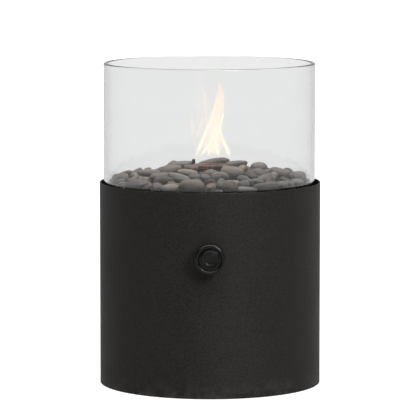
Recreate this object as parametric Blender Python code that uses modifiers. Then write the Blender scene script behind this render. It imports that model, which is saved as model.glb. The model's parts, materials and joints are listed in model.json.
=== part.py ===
"""Tabletop gas fire lantern: steel mantle, glass cylinder, pebble bed, burner, valve, cartridge.

Metres, +Z up. The knob faces -Y. The origin is the middle of the bounding box's underside, so
the mantle's axis stands a little behind it. Pieces stack from the ground up: cartridge, valve,
valve plate, heat shield, stone tray, glass.
"""

from math import asin, cos, pi, radians, sin, sqrt

import bmesh
import bpy
from mathutils import Vector

# Clearances
GAP = 0.0003                 # between pieces that touch
HOLE_PLAY = 0.0003           # round a shank or rod in its hole
CUT_PAST = 0.001             # how far a cutter runs past the face it cuts

# Mantle: the rolled steel body
MANTLE_RADIUS = 0.100
MANTLE_WALL = 0.0012
MANTLE_RIM_DEPTH = 0.0143    # from the tray's floor up to the rim
RIM_CHAMFER = 0.0003

# Base ring and feet
GROUND_GAP = 0.0006          # under the mantle's lower edge
BASE_SHEET = 0.0012
BASE_RISE = 0.0019           # from the mantle's lower edge up to the ring
BASE_PLAY = 0.0004           # between the ring and the mantle
BASE_FLANGE = 0.0115
BASE_LIP = 0.0055
FOOT_RADIUS = 0.008
FOOT_EDGE = 0.0005           # chamfer round the sole
FOOT_NECK = 0.0022
FOOT_BARB = 0.0012           # how far the head stands out over the neck
FOOT_HEAD = 0.0022
FOOT_COUNT = 4
FOOT_INSET = 0.020           # from the mantle's surface to a foot's centre

# Glass cylinder
GLASS_RIM_GAP = 0.0028       # between the mantle and the glass
GLASS_WALL = 0.004
GLASS_HEIGHT = 0.122
GLASS_BEVEL = 0.0008

# Stone tray and pebbles
TRAY_SHEET = 0.0012
TRAY_PLAY = 0.0006           # between the tray and the mantle
TRAY_LIP = 0.0045
COLLAR_PLAY = 0.0023         # between the spark electrode and the collar round the burner
COLLAR_HEIGHT = 0.0223
BED_CROWN = 0.0285           # pebble mound over the tray's floor, by the burner
BED_EDGE = 0.0185            # pebble mound over the tray's floor, by the glass
BED_RINGS = 7

# Gas cartridge with a threaded valve
CAN_GROUND_GAP = 0.009
CAN_RADIUS = 0.055
CAN_HEIGHT = 0.084
CAN_WALL = 0.0009
CAN_MOUTH = 0.010
CAN_CRIMP = 0.017            # radius of the rim round the can's valve
CAN_CRIMP_HEIGHT = 0.0045
CAN_SHOULDER = 0.034         # height of the domed top
CAN_FOOT = 0.006             # from the can's side in to its foot's inner edge
CAN_DISH = 0.007             # how far the can's floor is dished up
DOME_STEPS = 5
MOUTH_SHEET = 0.0012
CAN_HOLE_PLAY = 0.007        # round the can in the base ring
NIPPLE_RADIUS = 0.0055
NIPPLE_LENGTH = 0.009
NIPPLE_EDGE = 0.0005
NIPPLE_FLANGE = 0.0017
NIPPLE_FLANGE_RADIUS = 0.0118
NIPPLE_DEPTH = 0.005         # how far the valve reaches into the can

# Valve
VALVE_RISE = 0.0305          # from the valve's mouth to the knob's axis
VALVE_HEAD = 0.0145          # from the knob's axis to the valve's top
VALVE_FLANGE_RADIUS = 0.016
VALVE_FLANGE_HEIGHT = 0.005
VALVE_NECK_RADIUS = 0.011
VALVE_NECK_TAPER = 0.003
INLET_RADIUS = 0.0125
INLET_HEIGHT = 0.008
REGULATOR_RADIUS = 0.020
REGULATOR_LOW = 0.0095       # from the valve's mouth up to the regulator
REGULATOR_HIGH = 0.0185
REGULATOR_CHAMFER = 0.0015
SEAL_HEIGHT = 0.0018
SEAL_SQUEEZE = 0.0004        # how far the mouth comes down past the seal's top
SEAL_OUTER = 0.0088
SEAL_INNER = 0.0062
SEAL_ROUND = 0.0005
SEAL_PLAY = 0.0004
SEAL_GROOVE = 0.0016         # how deep the seal's groove goes into the mouth
THREAD_END_GAP = 0.001       # over the end of the cartridge's nipple
BOSS_RADIUS = 0.009
BOSS_FRONT = 0.026
BOSS_REAR = 0.012
PLUG_RADIUS = 0.0050
PLUG_STAND = 0.004           # how far the plug stands out of the boss
PLUG_REAR = 0.005
PLUG_STEP = 0.008            # where the stem's thin pin begins inside the plug
PORT_RADIUS = 0.0015
STEM_RADIUS = 0.0030
PIN_RADIUS = 0.0012
PIN_PLAY = 0.0004
PIN_SHOULDER = 0.0008        # left between the stem and its seat when it is pushed in
PIN_LENGTH = 0.017
MAGNET_RADIUS = 0.0055
MAGNET_FLANGE_RADIUS = 0.0066
MAGNET_FLANGE = 0.0035
MAGNET_NOSE_RADIUS = 0.0045
MAGNET_NOSE = 0.0035
MAGNET_LENGTH = 0.0225
MAGNET_CHAMFER = 0.0015
NUT_RADIUS = 0.0045
NUT_LENGTH = 0.008
JET_BORE = 0.0005
JET_SHANK = 0.0035
JET_DEPTH = 0.0045           # how far the jet's shank goes into the valve
JET_HEX_RADIUS = 0.005
JET_HEX = 0.0035
JET_HEIGHT = 0.008
JET_TIP_RADIUS = 0.0022
JET_NECK_RADIUS = 0.0030

# Stem spring and its collar
SPRING_PLAY = 0.0008
SPRING_LENGTH = 0.0144
SPRING_RADIUS = 0.0044
SPRING_WIRE = 0.00045
SPRING_TURNS = 5
SPRING_STEPS = 9             # points round one turn
SPRING_COLLAR_RADIUS = 0.0054
SPRING_COLLAR = 0.002

# Plates above the valve
PLATE_SHEET = 0.0015
PLATE_EDGE_GAP = 0.0013
PLATE_SCREW_INSET = 0.0085   # from the plate's edge to a screw's centre
PLATE_TAB_REACH = 0.016
BURNER_SPACE = 0.0247        # from the valve plate up to the tray
SHIELD_RADIUS = 0.070
SHIELD_SHEET = 0.0008
SHIELD_RISE = 0.0112         # from the valve plate up to the heat shield
SHIELD_PLAY = 0.001          # its hole is this much wider than the collar above it
STANDOFF_RADIUS = 0.0032
STANDOFF_CIRCLE = 0.055
STANDOFF_STUD = 0.003        # how far its stud reaches below the plate
STANDOFF_BORE = 0.006
VENT_RADIUS = 0.008
VENT_COUNT = 6
VENT_START = 15              # degrees
VENT_MARGIN = 0.0255         # from the plate's edge to a vent's centre

# Burner
TUBE_RADIUS = 0.008
TUBE_WALL = 0.001
TUBE_PLAY = 0.001            # round the tube in the valve plate
TUBE_FLANGE = 0.0015
BURNER_RADIUS = 0.0172
BURNER_RISE = 0.0298         # from the tray's floor to the burner's top
BURNER_DEPTH = 0.0125
BURNER_WALL = 0.0020
BURNER_SLOPE = 0.0055        # height of the cup's cone, outside
CUP_FLOOR = 0.0012           # thickness of the cup's floor
CUP_SKIRT = 0.0005           # where the cone starts on the sleeve
CUP_SLOPE_WALL = 0.001       # the cone ends this much higher inside
BURNER_CAP_SHEET = 0.0015
BURNER_CAP_DROP = 0.0002     # the cup's rim lies this far below the burner's top
BURNER_CAP_LEDGE = 0.0014    # the step that carries the cap
BURNER_PORTS = 8
BURNER_PORT_RADIUS = 0.0012
BURNER_PORT_CIRCLE = 0.62    # as a share of the seat's radius
BURNER_CENTRE_PORT = 0.00192
SLEEVE_LENGTH = 0.0095
SLEEVE_WALL = 0.0012
AIR_HOLE_RADIUS = 0.0025
AIR_HOLE_RISE = 0.0072
PROBE_SPACE = 0.0040         # from the burner's side to the axes of electrode and probe
PROBE_RISE = 0.0072          # from the valve plate up to their lower ends
PROBE_STAND = 0.0035         # how far the flame probe stands over the burner
PROBE_RADIUS = 0.0016
CERAMIC_RADIUS = 0.0025
CERAMIC_DROP = 0.0075        # from the burner's top down to the ceramic
CERAMIC_CHAMFER = 0.002
TIP_WIRE = 0.0007
TIP_LEAN = 0.0012
BRACKET_MARGIN = 0.0034      # sheet left round the bracket's holes
BRACKET_RISE = 0.0043        # from the tray's floor up to the bracket

# Knob
KNOB_RADIUS = 0.0135
KNOB_DEPTH = 0.0168
KNOB_TRAVEL = 0.003
KNOB_STAND = 0.0005          # left behind the knob when it is pushed in
KNOB_SKIN = 0.0016
KNOB_HUB_WALL = 0.0025
KNOB_HUB_INSET = 0.001
KNOB_ROOF = 0.005            # from the front down to the hollow behind
KNOB_SOCKET = 0.006          # from the front down to the stem's end
KNOB_RECESS = 0.010
KNOB_RECESS_DEPTH = 0.003
KNOB_CAP_RADIUS = 0.008
KNOB_CAP_RIM = 0.0010        # thickness of the cap's rim
KNOB_CAP_TOP = 0.0004        # from the knob's front down to the cap's highest ring
KNOB_CAP_DISH = 0.0005
EDGE = 0.0005                # rounding of the knob's edges

# Cam and piezo igniter
CAM_RADIUS = 0.006
CAM_RISE_PER_RADIAN = 0.0025
CAM_SHEET = 0.005
CAM_OVERRUN = radians(10)    # the spiral goes on this far past the knob's turn
CAM_DROP = radians(12)       # the turn in which the spiral falls back to the base circle
CAM_STEPS = 20
CAM_CLEARANCE = 0.0056       # between the cam's peak and the igniter
KNOB_TURN = radians(90)
PLUNGER_RADIUS = 0.003
PLUNGER_TIP = 0.0006
PLUNGER_CONE = 0.003
PLUNGER_GAP = 0.0005
PLUNGER_SEAT = 0.008         # length of the plunger inside the igniter
PLUNGER_END_GAP = 0.001
PIEZO_RADIUS = 0.007
PIEZO_LENGTH = 0.034
PIEZO_NOSE_RADIUS = 0.0045
PIEZO_NOSE = 0.008
PIEZO_EDGE = 0.0005
CLIP_WALL = 0.0016
CLIP_WIDTH = 0.006
CLIP_STRAP = 0.010

# Screws and tabs
SCREW_RADIUS = 0.0017
SCREW_HEAD_RADIUS = 0.0032
SCREW_HEAD_HEIGHT = 0.0020
VALVE_SCREW_INSET = 0.0045   # from the flange's edge to the screw's centre
VALVE_SCREW_LENGTH = 0.0065
VALVE_SCREW_DEPTH = 0.0042
PLATE_SCREW_LENGTH = 0.008
SHIELD_SCREW_LENGTH = 0.005
TAB_WIDTH = 0.016
TAB_SHEET = 0.0012
TAB_LEG = 0.013
TAB_REACH = 0.014
TAB_ANGLES = (90, 210, 330)
TRAY_TAB_ANGLES = (30, 150, 270)

# Leads
LEAD_RADIUS = 0.0014
LEAD_HOLE_PLAY = 0.0012
LEAD_SPACING = 0.0045        # between the points of the lead's route
CAPILLARY_RADIUS = 0.0009
CAPILLARY_HOLE_PLAY = 0.0015
CAPILLARY_SPACING = 0.004

# Facets round a full circle
LARGE = 64
WIDE = 48
MEDIUM = 24
SMALL = 12
PORT_FACETS = 8
NUT_FACETS = 6

# Worked out from the sizes above
mantle_inner = MANTLE_RADIUS - MANTLE_WALL
mantle_inner_flat = mantle_inner * cos(pi / LARGE)
glass_radius = mantle_inner - GLASS_RIM_GAP
glass_inner = glass_radius - GLASS_WALL
tray_radius = mantle_inner - TRAY_PLAY
can_top = CAN_GROUND_GAP + CAN_HEIGHT
nipple_seat = can_top + GAP + NIPPLE_FLANGE
nipple_top = nipple_seat + NIPPLE_LENGTH
valve_mouth = nipple_seat + GAP + SEAL_HEIGHT - SEAL_SQUEEZE
knob_height = valve_mouth + VALVE_RISE
valve_top = knob_height + VALVE_HEAD
plate_bottom = valve_top + GAP
plate_top = plate_bottom + PLATE_SHEET
plate_radius = mantle_inner - PLATE_EDGE_GAP
shield_bottom = plate_top + SHIELD_RISE
tray_bottom = plate_top + BURNER_SPACE
tray_floor = tray_bottom + TRAY_SHEET
mantle_top = tray_floor + MANTLE_RIM_DEPTH
glass_bottom = tray_floor + GAP
glass_top = glass_bottom + GLASS_HEIGHT
burner_top = tray_floor + BURNER_RISE
base_hole = CAN_RADIUS + CAN_HOLE_PLAY
foot_circle = MANTLE_RADIUS - FOOT_INSET
probe_circle = BURNER_RADIUS + PROBE_SPACE
collar_radius = probe_circle + CERAMIC_RADIUS + COLLAR_PLAY
stem_bore = STEM_RADIUS + HOLE_PLAY
knob_back = MANTLE_RADIUS + KNOB_TRAVEL + KNOB_STAND
knob_front = knob_back + KNOB_DEPTH
plug_front = BOSS_FRONT + PLUG_STAND
cam_back = plug_front + GAP
cam_front = cam_back + CAM_SHEET
cam_middle = (cam_back + cam_front) / 2
spring_back = cam_front + SPRING_PLAY
spring_front = spring_back + SPRING_LENGTH
collar_back = spring_front + SPRING_PLAY
cam_peak = CAM_RADIUS + CAM_RISE_PER_RADIAN * (KNOB_TURN + CAM_OVERRUN)
piezo_face = cam_peak + CAM_CLEARANCE
piezo_end = piezo_face + PIEZO_LENGTH
plate_screw_circle = plate_radius - PLATE_SCREW_INSET
valve_screw_circle = VALVE_FLANGE_RADIUS - VALVE_SCREW_INSET
axis_y = (knob_front - MANTLE_RADIUS) / 2


# ---- helpers -------------------------------------------------------------------------------

for old in list(bpy.data.objects):
    bpy.data.objects.remove(old, do_unlink=True)

heater = bpy.data.collections.new("gas_fire_lantern")
cutters = bpy.data.collections.new("cutters")
bpy.context.scene.collection.children.link(heater)
bpy.context.scene.collection.children.link(cutters)


def material(name, colour, roughness, metallic=0.0, transmission=0.0):
    made = bpy.data.materials.new(name)
    made.use_nodes = True
    shader = made.node_tree.nodes["Principled BSDF"]
    shader.inputs["Base Color"].default_value = (*colour, 1.0)
    shader.inputs["Roughness"].default_value = roughness
    shader.inputs["Metallic"].default_value = metallic
    shader.inputs["Transmission Weight"].default_value = transmission
    made.diffuse_color = (*colour, 1.0)
    return made


black_coat = material("black_coat", (0.016, 0.015, 0.014), 0.45, 0.1)
zinc_steel = material("zinc_steel", (0.55, 0.56, 0.56), 0.35, 1.0)
stainless = material("stainless", (0.50, 0.49, 0.47), 0.28, 1.0)
brass = material("brass", (0.62, 0.44, 0.18), 0.30, 1.0)
clear_glass = material("clear_glass", (0.95, 0.97, 0.97), 0.02, 0.0, 1.0)
river_stone = material("river_stone", (0.060, 0.052, 0.047), 0.55)
black_rubber = material("black_rubber", (0.018, 0.018, 0.018), 0.8)
black_plastic = material("black_plastic", (0.012, 0.012, 0.012), 0.3)
white_ceramic = material("white_ceramic", (0.80, 0.78, 0.73), 0.25)
copper = material("copper", (0.60, 0.28, 0.16), 0.35, 1.0)
lead_silicone = material("lead_silicone", (0.30, 0.045, 0.030), 0.6)
can_paint = material("can_paint", (0.10, 0.19, 0.27), 0.35)
spring_steel = material("spring_steel", (0.42, 0.42, 0.43), 0.3, 1.0)


def empty(name, location, rotation=(0, 0, 0), parent=None):
    made = bpy.data.objects.new(name, None)
    heater.objects.link(made)
    made.parent = parent
    made.location = location
    made.rotation_euler = rotation
    return made


centre = empty("mantle_axis", (0, axis_y, 0))
# Its local Z points to the front, local X to the right and local Y up.
stem_axis = empty("stem_axis", (0, 0, knob_height), (pi / 2, 0, 0), centre)
# Its local Z points to the right.
piezo_axis = empty("piezo_axis", (0, -cam_middle, knob_height), (0, pi / 2, 0), centre)


def add(name, data, finish, parent, location=(0, 0, 0), turn=0.0, group=heater):
    made = bpy.data.objects.new(name, data)
    group.objects.link(made)
    made.parent = parent
    made.location = location
    made.rotation_euler = (0, 0, turn)
    if finish:
        data.materials.append(finish)
    if group is cutters:
        made.hide_render = True
        made.display_type = "WIRE"
    return made


def smooth(mesh):
    mesh.shade_smooth()
    mesh.set_sharp_from_angle(angle=radians(35))


def turned(name, profile, steps, finish, parent=centre, location=(0, 0, 0), turn=0.0, group=heater):
    """A turned piece. Points (radius, height) run down the outer side.

    A profile that starts on the axis is solid; any other is closed into a ring.
    """
    mesh = bpy.data.meshes.new(name)
    corners = [(radius, 0, height) for radius, height in profile]
    edges = [(i, i + 1) for i in range(len(corners) - 1)]
    if profile[0][0] > 0:
        edges.append((len(corners) - 1, 0))
    mesh.from_pydata(corners, edges, [])
    made = add(name, mesh, finish, parent, location, turn, group)
    screw = made.modifiers.new("turn", "SCREW")
    screw.axis = "Z"
    screw.angle = 2 * pi
    screw.steps = steps
    screw.render_steps = steps
    screw.use_merge_vertices = True
    screw.merge_threshold = 0.00001
    screw.use_smooth_shade = True
    return made


def circle(radius, steps, middle=(0, 0), start=0.0):
    points = []
    for i in range(steps):
        angle = start + 2 * pi * i / steps
        points.append((middle[0] + radius * cos(angle), middle[1] + radius * sin(angle)))
    return points


def polar(radius, degrees):
    return (radius * cos(radians(degrees)), radius * sin(radians(degrees)))


def plate(name, outlines, bottom, thickness, finish, parent=centre, turn=0.0, group=heater):
    """A flat sheet with holes: the first outline is its edge."""
    curve = bpy.data.curves.new(name, "CURVE")
    curve.dimensions = "2D"
    curve.fill_mode = "BOTH"
    curve.extrude = thickness / 2
    for outline in outlines:
        spline = curve.splines.new("POLY")
        spline.points.add(len(outline) - 1)
        for point, (x, y) in zip(spline.points, outline):
            point.co = (x, y, 0, 1)
        spline.use_cyclic_u = True
    return add(name, curve, finish, parent, (0, 0, bottom + thickness / 2), turn, group)


def smooth_route(points, spacing):
    """Points at about the given spacing on a smooth curve through the route's points."""
    stops = [Vector(point) for point in points]
    ends = [2 * stops[0] - stops[1], *stops, 2 * stops[-1] - stops[-2]]
    route = []
    for i in range(1, len(ends) - 2):
        before, here, there, after = ends[i - 1:i + 3]
        pieces = max(1, round((there - here).length / spacing))
        for step in range(pieces):
            t = step / pieces
            bend = 2 * here + (there - before) * t
            bend += (2 * before - 5 * here + 4 * there - after) * t ** 2
            bend += (3 * here - before - 3 * there + after) * t ** 3
            route.append(bend / 2)
    route.append(stops[-1])
    return route


def tube(name, route, radius, finish, parent=centre, resolution=2):
    curve = bpy.data.curves.new(name, "CURVE")
    curve.dimensions = "3D"
    curve.bevel_depth = radius
    curve.bevel_resolution = resolution
    curve.use_fill_caps = True
    spline = curve.splines.new("POLY")
    spline.points.add(len(route) - 1)
    for point, place in zip(spline.points, route):
        point.co = (*place, 1)
    return add(name, curve, finish, parent)


def rod(name, radius, low, high, steps, parent, location=(0, 0, 0), group=cutters):
    """A plain cylinder along the parent's Z, used to cut and to join."""
    mesh = bpy.data.meshes.new(name)
    shape = bmesh.new()
    bmesh.ops.create_cone(
        shape, cap_ends=True, segments=steps, radius1=radius, radius2=radius, depth=high - low)
    bmesh.ops.translate(shape, verts=shape.verts, vec=(0, 0, (low + high) / 2))
    shape.to_mesh(mesh)
    shape.free()
    return add(name, mesh, None, parent, location, group=group)


def boolean(target, tool, operation="DIFFERENCE"):
    modifier = target.modifiers.new(tool.name, "BOOLEAN")
    modifier.operation = operation
    modifier.solver = "EXACT"
    modifier.object = tool


def bent_tab(name, top, angle, reach, leg, finish):
    """An L of sheet against the mantle's inside: a level leg that carries, and one hanging down."""
    half = TAB_WIDTH / 2
    wall_face = sqrt((mantle_inner_flat - GAP) ** 2 - half ** 2)
    middle = TAB_SHEET / 2
    section = ((wall_face - reach, top - middle),
               (wall_face - middle, top - middle),
               (wall_face - middle, top - leg))
    mesh = bpy.data.meshes.new(name)
    shape = bmesh.new()
    corners = [shape.verts.new((radius, -half, height)) for radius, height in section]
    edges = [shape.edges.new(pair) for pair in zip(corners, corners[1:])]
    swept = bmesh.ops.extrude_edge_only(shape, edges=edges)["geom"]
    moved = [part for part in swept if isinstance(part, bmesh.types.BMVert)]
    bmesh.ops.translate(shape, verts=moved, vec=(0, TAB_WIDTH, 0))
    shape.to_mesh(mesh)
    shape.free()
    made = add(name, mesh, finish, centre, turn=radians(angle))
    sheet = made.modifiers.new("sheet", "SOLIDIFY")
    sheet.thickness = TAB_SHEET
    sheet.offset = 0
    sheet.use_even_offset = True
    return made


def screw(name, under_head, length, x, y, finish=zinc_steel):
    """A pan-head screw with its shank down; under_head is the height its head sits on."""
    head = SCREW_HEAD_RADIUS
    crown = under_head + SCREW_HEAD_HEIGHT
    profile = [(0, crown), (head * 0.6, crown), (head, under_head + SCREW_HEAD_HEIGHT * 0.5),
               (head, under_head), (SCREW_RADIUS, under_head),
               (SCREW_RADIUS, under_head - length), (0, under_head - length)]
    return turned(name, profile, SMALL, finish, location=(x, y, 0))


def ring(outer, inner, low, high):
    return [(outer, high), (outer, low), (inner, low), (inner, high)]


# ---- housing -------------------------------------------------------------------------------

def make_mantle():
    edge = MANTLE_RADIUS - RIM_CHAMFER
    profile = [(edge, mantle_top), (MANTLE_RADIUS, mantle_top - RIM_CHAMFER),
               (MANTLE_RADIUS, GROUND_GAP), (mantle_inner, GROUND_GAP),
               (mantle_inner, mantle_top)]
    mantle = turned("mantle", profile, LARGE, black_coat)
    hole = rod("stem_hole", STEM_RADIUS + 0.002, mantle_inner - 0.01, MANTLE_RADIUS + 0.01,
               MEDIUM, stem_axis)
    boolean(mantle, hole)


def make_base():
    low = GROUND_GAP + BASE_RISE
    floor = low + BASE_SHEET
    outer = mantle_inner - BASE_PLAY
    wall = outer - BASE_SHEET
    profile = [(outer, low + BASE_FLANGE), (outer, low), (base_hole, low),
               (base_hole, low + BASE_LIP), (base_hole + BASE_SHEET, low + BASE_LIP),
               (base_hole + BASE_SHEET, floor), (wall, floor), (wall, low + BASE_FLANGE)]
    base = turned("base_ring", profile, WIDE, black_coat)
    for number in range(1, FOOT_COUNT + 1):
        x, y = polar(foot_circle, 360 / FOOT_COUNT * (number - 0.5))
        hole = rod(f"foot_hole_{number}", FOOT_NECK + HOLE_PLAY, 0, floor + CUT_PAST, SMALL,
                   centre, (x, y, 0))
        boolean(base, hole)
        under = low - GAP
        head = floor + GAP
        foot = [(0, head + FOOT_HEAD), (FOOT_NECK * 0.7, head + FOOT_HEAD),
                (FOOT_NECK + FOOT_BARB, head), (FOOT_NECK, head), (FOOT_NECK, under),
                (FOOT_RADIUS, under), (FOOT_RADIUS, FOOT_EDGE), (FOOT_RADIUS - FOOT_EDGE, 0),
                (0, 0)]
        turned(f"rubber_foot_{number}", foot, SMALL, black_rubber, location=(x, y, 0))


def make_tabs():
    for number, angle in enumerate(TAB_ANGLES, 1):
        tab = bent_tab(f"plate_tab_{number}", plate_bottom - GAP, angle, PLATE_TAB_REACH,
                       TAB_LEG, zinc_steel)
        x, y = polar(plate_screw_circle, angle)
        hole = rod(f"tab_hole_{number}", SCREW_RADIUS + HOLE_PLAY,
                   plate_bottom - TAB_SHEET - CUT_PAST, plate_top, SMALL, centre, (x, y, 0))
        boolean(tab, hole)
        screw(f"plate_screw_{number}", plate_top + GAP, PLATE_SCREW_LENGTH, x, y)
    for number, angle in enumerate(TRAY_TAB_ANGLES, 1):
        bent_tab(f"tray_tab_{number}", tray_bottom - GAP, angle, TAB_REACH, TAB_LEG, zinc_steel)


# ---- valve plate, heat shield and tray -----------------------------------------------------

def probe_place(side):
    """The electrode stands to the front right (+1), the flame probe to the back left (-1)."""
    across = side * probe_circle / sqrt(2)
    return across, -across


# Where the two leads pass through the valve plate
lead_crossing = (0.062, -0.027)
capillary_crossing = (-0.017, 0.030)


def make_plates():
    hole = SCREW_RADIUS + HOLE_PLAY
    holes = [circle(plate_radius, WIDE), circle(TUBE_RADIUS + TUBE_PLAY, MEDIUM),
             circle(LEAD_RADIUS + LEAD_HOLE_PLAY, SMALL, lead_crossing),
             circle(CAPILLARY_RADIUS + CAPILLARY_HOLE_PLAY, SMALL, capillary_crossing)]
    for number in range(VENT_COUNT):
        place = polar(plate_radius - VENT_MARGIN, VENT_START + 360 / VENT_COUNT * number)
        holes.append(circle(VENT_RADIUS, SMALL, place))
    holes += [circle(hole, SMALL, polar(plate_screw_circle, angle)) for angle in TAB_ANGLES]
    holes += [circle(hole, SMALL, (side * valve_screw_circle, 0)) for side in (-1, 1)]
    holes += [circle(hole, SMALL, polar(STANDOFF_CIRCLE, angle)) for angle in TRAY_TAB_ANGLES]
    plate("valve_plate", holes, plate_bottom, PLATE_SHEET, zinc_steel)

    shield = [circle(SHIELD_RADIUS, WIDE), circle(collar_radius + SHIELD_PLAY, MEDIUM)]
    shield += [circle(hole, SMALL, polar(STANDOFF_CIRCLE, angle)) for angle in TRAY_TAB_ANGLES]
    plate("heat_shield", shield, shield_bottom, SHIELD_SHEET, stainless)

    for number, angle in enumerate(TRAY_TAB_ANGLES, 1):
        x, y = polar(STANDOFF_CIRCLE, angle)
        low = plate_top + GAP
        high = shield_bottom - GAP
        # A spacer with a stud that goes down through the plate, and a bore for its screw.
        stud = plate_bottom - STANDOFF_STUD
        post = [(STANDOFF_RADIUS, high), (STANDOFF_RADIUS, low), (SCREW_RADIUS, low),
                (SCREW_RADIUS, stud), (0, stud)]
        bore = SCREW_RADIUS + HOLE_PLAY
        bored = [(0, high - STANDOFF_BORE), (bore, high - STANDOFF_BORE), (bore, high)]
        turned(f"standoff_{number}", bored + post, SMALL, zinc_steel, location=(x, y, 0))
        screw(f"shield_screw_{number}", shield_bottom + SHIELD_SHEET + GAP,
              SHIELD_SCREW_LENGTH, x, y)


def make_tray():
    wall = collar_radius + TRAY_SHEET
    collar_top = tray_floor + COLLAR_HEIGHT
    lip_top = tray_floor + TRAY_LIP
    profile = [(tray_radius, lip_top), (tray_radius, tray_bottom), (collar_radius, tray_bottom),
               (collar_radius, collar_top), (wall, collar_top), (wall, tray_floor),
               (tray_radius - TRAY_SHEET, tray_floor), (tray_radius - TRAY_SHEET, lip_top)]
    turned("stone_tray", profile, WIDE, black_coat)


def make_glass():
    edge = GLASS_BEVEL
    profile = [(glass_radius - edge, glass_top), (glass_radius, glass_top - edge),
               (glass_radius, glass_bottom + edge), (glass_radius - edge, glass_bottom),
               (glass_inner + edge, glass_bottom), (glass_inner, glass_bottom + edge),
               (glass_inner, glass_top - edge), (glass_inner + edge, glass_top)]
    turned("glass_cylinder", profile, LARGE, clear_glass)


def make_pebble_bed():
    """The heaped pebbles as one mound: its height falls off smoothly towards the glass."""
    inner = collar_radius + TRAY_SHEET + GAP
    outer = glass_inner - GAP
    crest = []
    for i in range(BED_RINGS):
        share = i / (BED_RINGS - 1)
        radius = outer + (inner - outer) * share
        fall = (1 + cos(pi * (1 - share))) / 2
        crest.append((radius, tray_floor + BED_EDGE + (BED_CROWN - BED_EDGE) * fall))
    low = tray_floor + GAP
    # The crest is walked from the burner outwards, then down the outside.
    profile = crest[::-1] + [(outer, low), (inner, low)]
    turned("pebble_bed", profile, WIDE, river_stone)


# ---- burner --------------------------------------------------------------------------------

def make_burner():
    low = plate_top + GAP
    flange_top = low + TUBE_FLANGE
    cup_floor = burner_top - BURNER_DEPTH
    tube_top = cup_floor - GAP
    tube_bore = TUBE_RADIUS - TUBE_WALL
    flange = [(TUBE_RADIUS, tube_top), (TUBE_RADIUS, flange_top),
              (VALVE_FLANGE_RADIUS, flange_top), (VALVE_FLANGE_RADIUS, low),
              (tube_bore, low), (tube_bore, tube_top)]
    mixing_tube = turned("mixing_tube", flange, MEDIUM, stainless)
    for name, rotation in (("air_hole_x", (0, pi / 2, 0)), ("air_hole_y", (pi / 2, 0, 0))):
        reach = TUBE_RADIUS + CUT_PAST
        cross = rod(name, AIR_HOLE_RADIUS, -reach, reach, SMALL, centre,
                    (0, 0, low + AIR_HOLE_RISE))
        cross.rotation_euler = rotation
        boolean(mixing_tube, cross)
    for number, side in enumerate((-1, 1), 1):
        x = side * valve_screw_circle
        hole = rod(f"tube_flange_hole_{number}", SCREW_RADIUS + HOLE_PLAY, low - CUT_PAST,
                   flange_top + CUT_PAST, SMALL, centre, (x, 0, 0))
        boolean(mixing_tube, hole)
        screw(f"valve_screw_{number}", flange_top + GAP, VALVE_SCREW_LENGTH, x, 0)

    sleeve = TUBE_RADIUS + HOLE_PLAY
    sleeve_outer = sleeve + SLEEVE_WALL
    sleeve_low = cup_floor - SLEEVE_LENGTH
    rim = burner_top - BURNER_CAP_DROP
    ledge = rim - BURNER_CAP_SHEET - GAP
    mouth = BURNER_RADIUS - BURNER_WALL
    seat = mouth + BURNER_CAP_LEDGE
    cup = [(BURNER_RADIUS, rim), (BURNER_RADIUS, cup_floor + BURNER_SLOPE),
           (sleeve_outer, cup_floor + CUP_SKIRT), (sleeve_outer, sleeve_low),
           (sleeve, sleeve_low), (sleeve, cup_floor),
           (tube_bore, cup_floor), (tube_bore, cup_floor + CUP_FLOOR),
           (mouth, cup_floor + BURNER_SLOPE + CUP_SLOPE_WALL), (mouth, ledge),
           (seat, ledge), (seat, rim)]
    turned("burner_cup", cup, MEDIUM, stainless)

    ports = [circle(seat - HOLE_PLAY, MEDIUM)]
    for number in range(BURNER_PORTS):
        place = polar(seat * BURNER_PORT_CIRCLE, 360 / BURNER_PORTS * number)
        ports.append(circle(BURNER_PORT_RADIUS, PORT_FACETS, place))
    ports.append(circle(BURNER_CENTRE_PORT, PORT_FACETS))
    plate("burner_cap", ports, ledge + GAP, BURNER_CAP_SHEET, stainless)

    jet_top = valve_top + JET_HEIGHT
    jet_low = valve_top - JET_DEPTH
    jet = [(JET_TIP_RADIUS, jet_top), (JET_NECK_RADIUS, valve_top + JET_HEX),
           (JET_HEX_RADIUS, valve_top + JET_HEX), (JET_HEX_RADIUS, valve_top + GAP),
           (JET_SHANK, valve_top + GAP), (JET_SHANK, jet_low), (JET_BORE, jet_low),
           (JET_BORE, jet_top)]
    turned("jet", jet, SMALL, brass)


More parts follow.
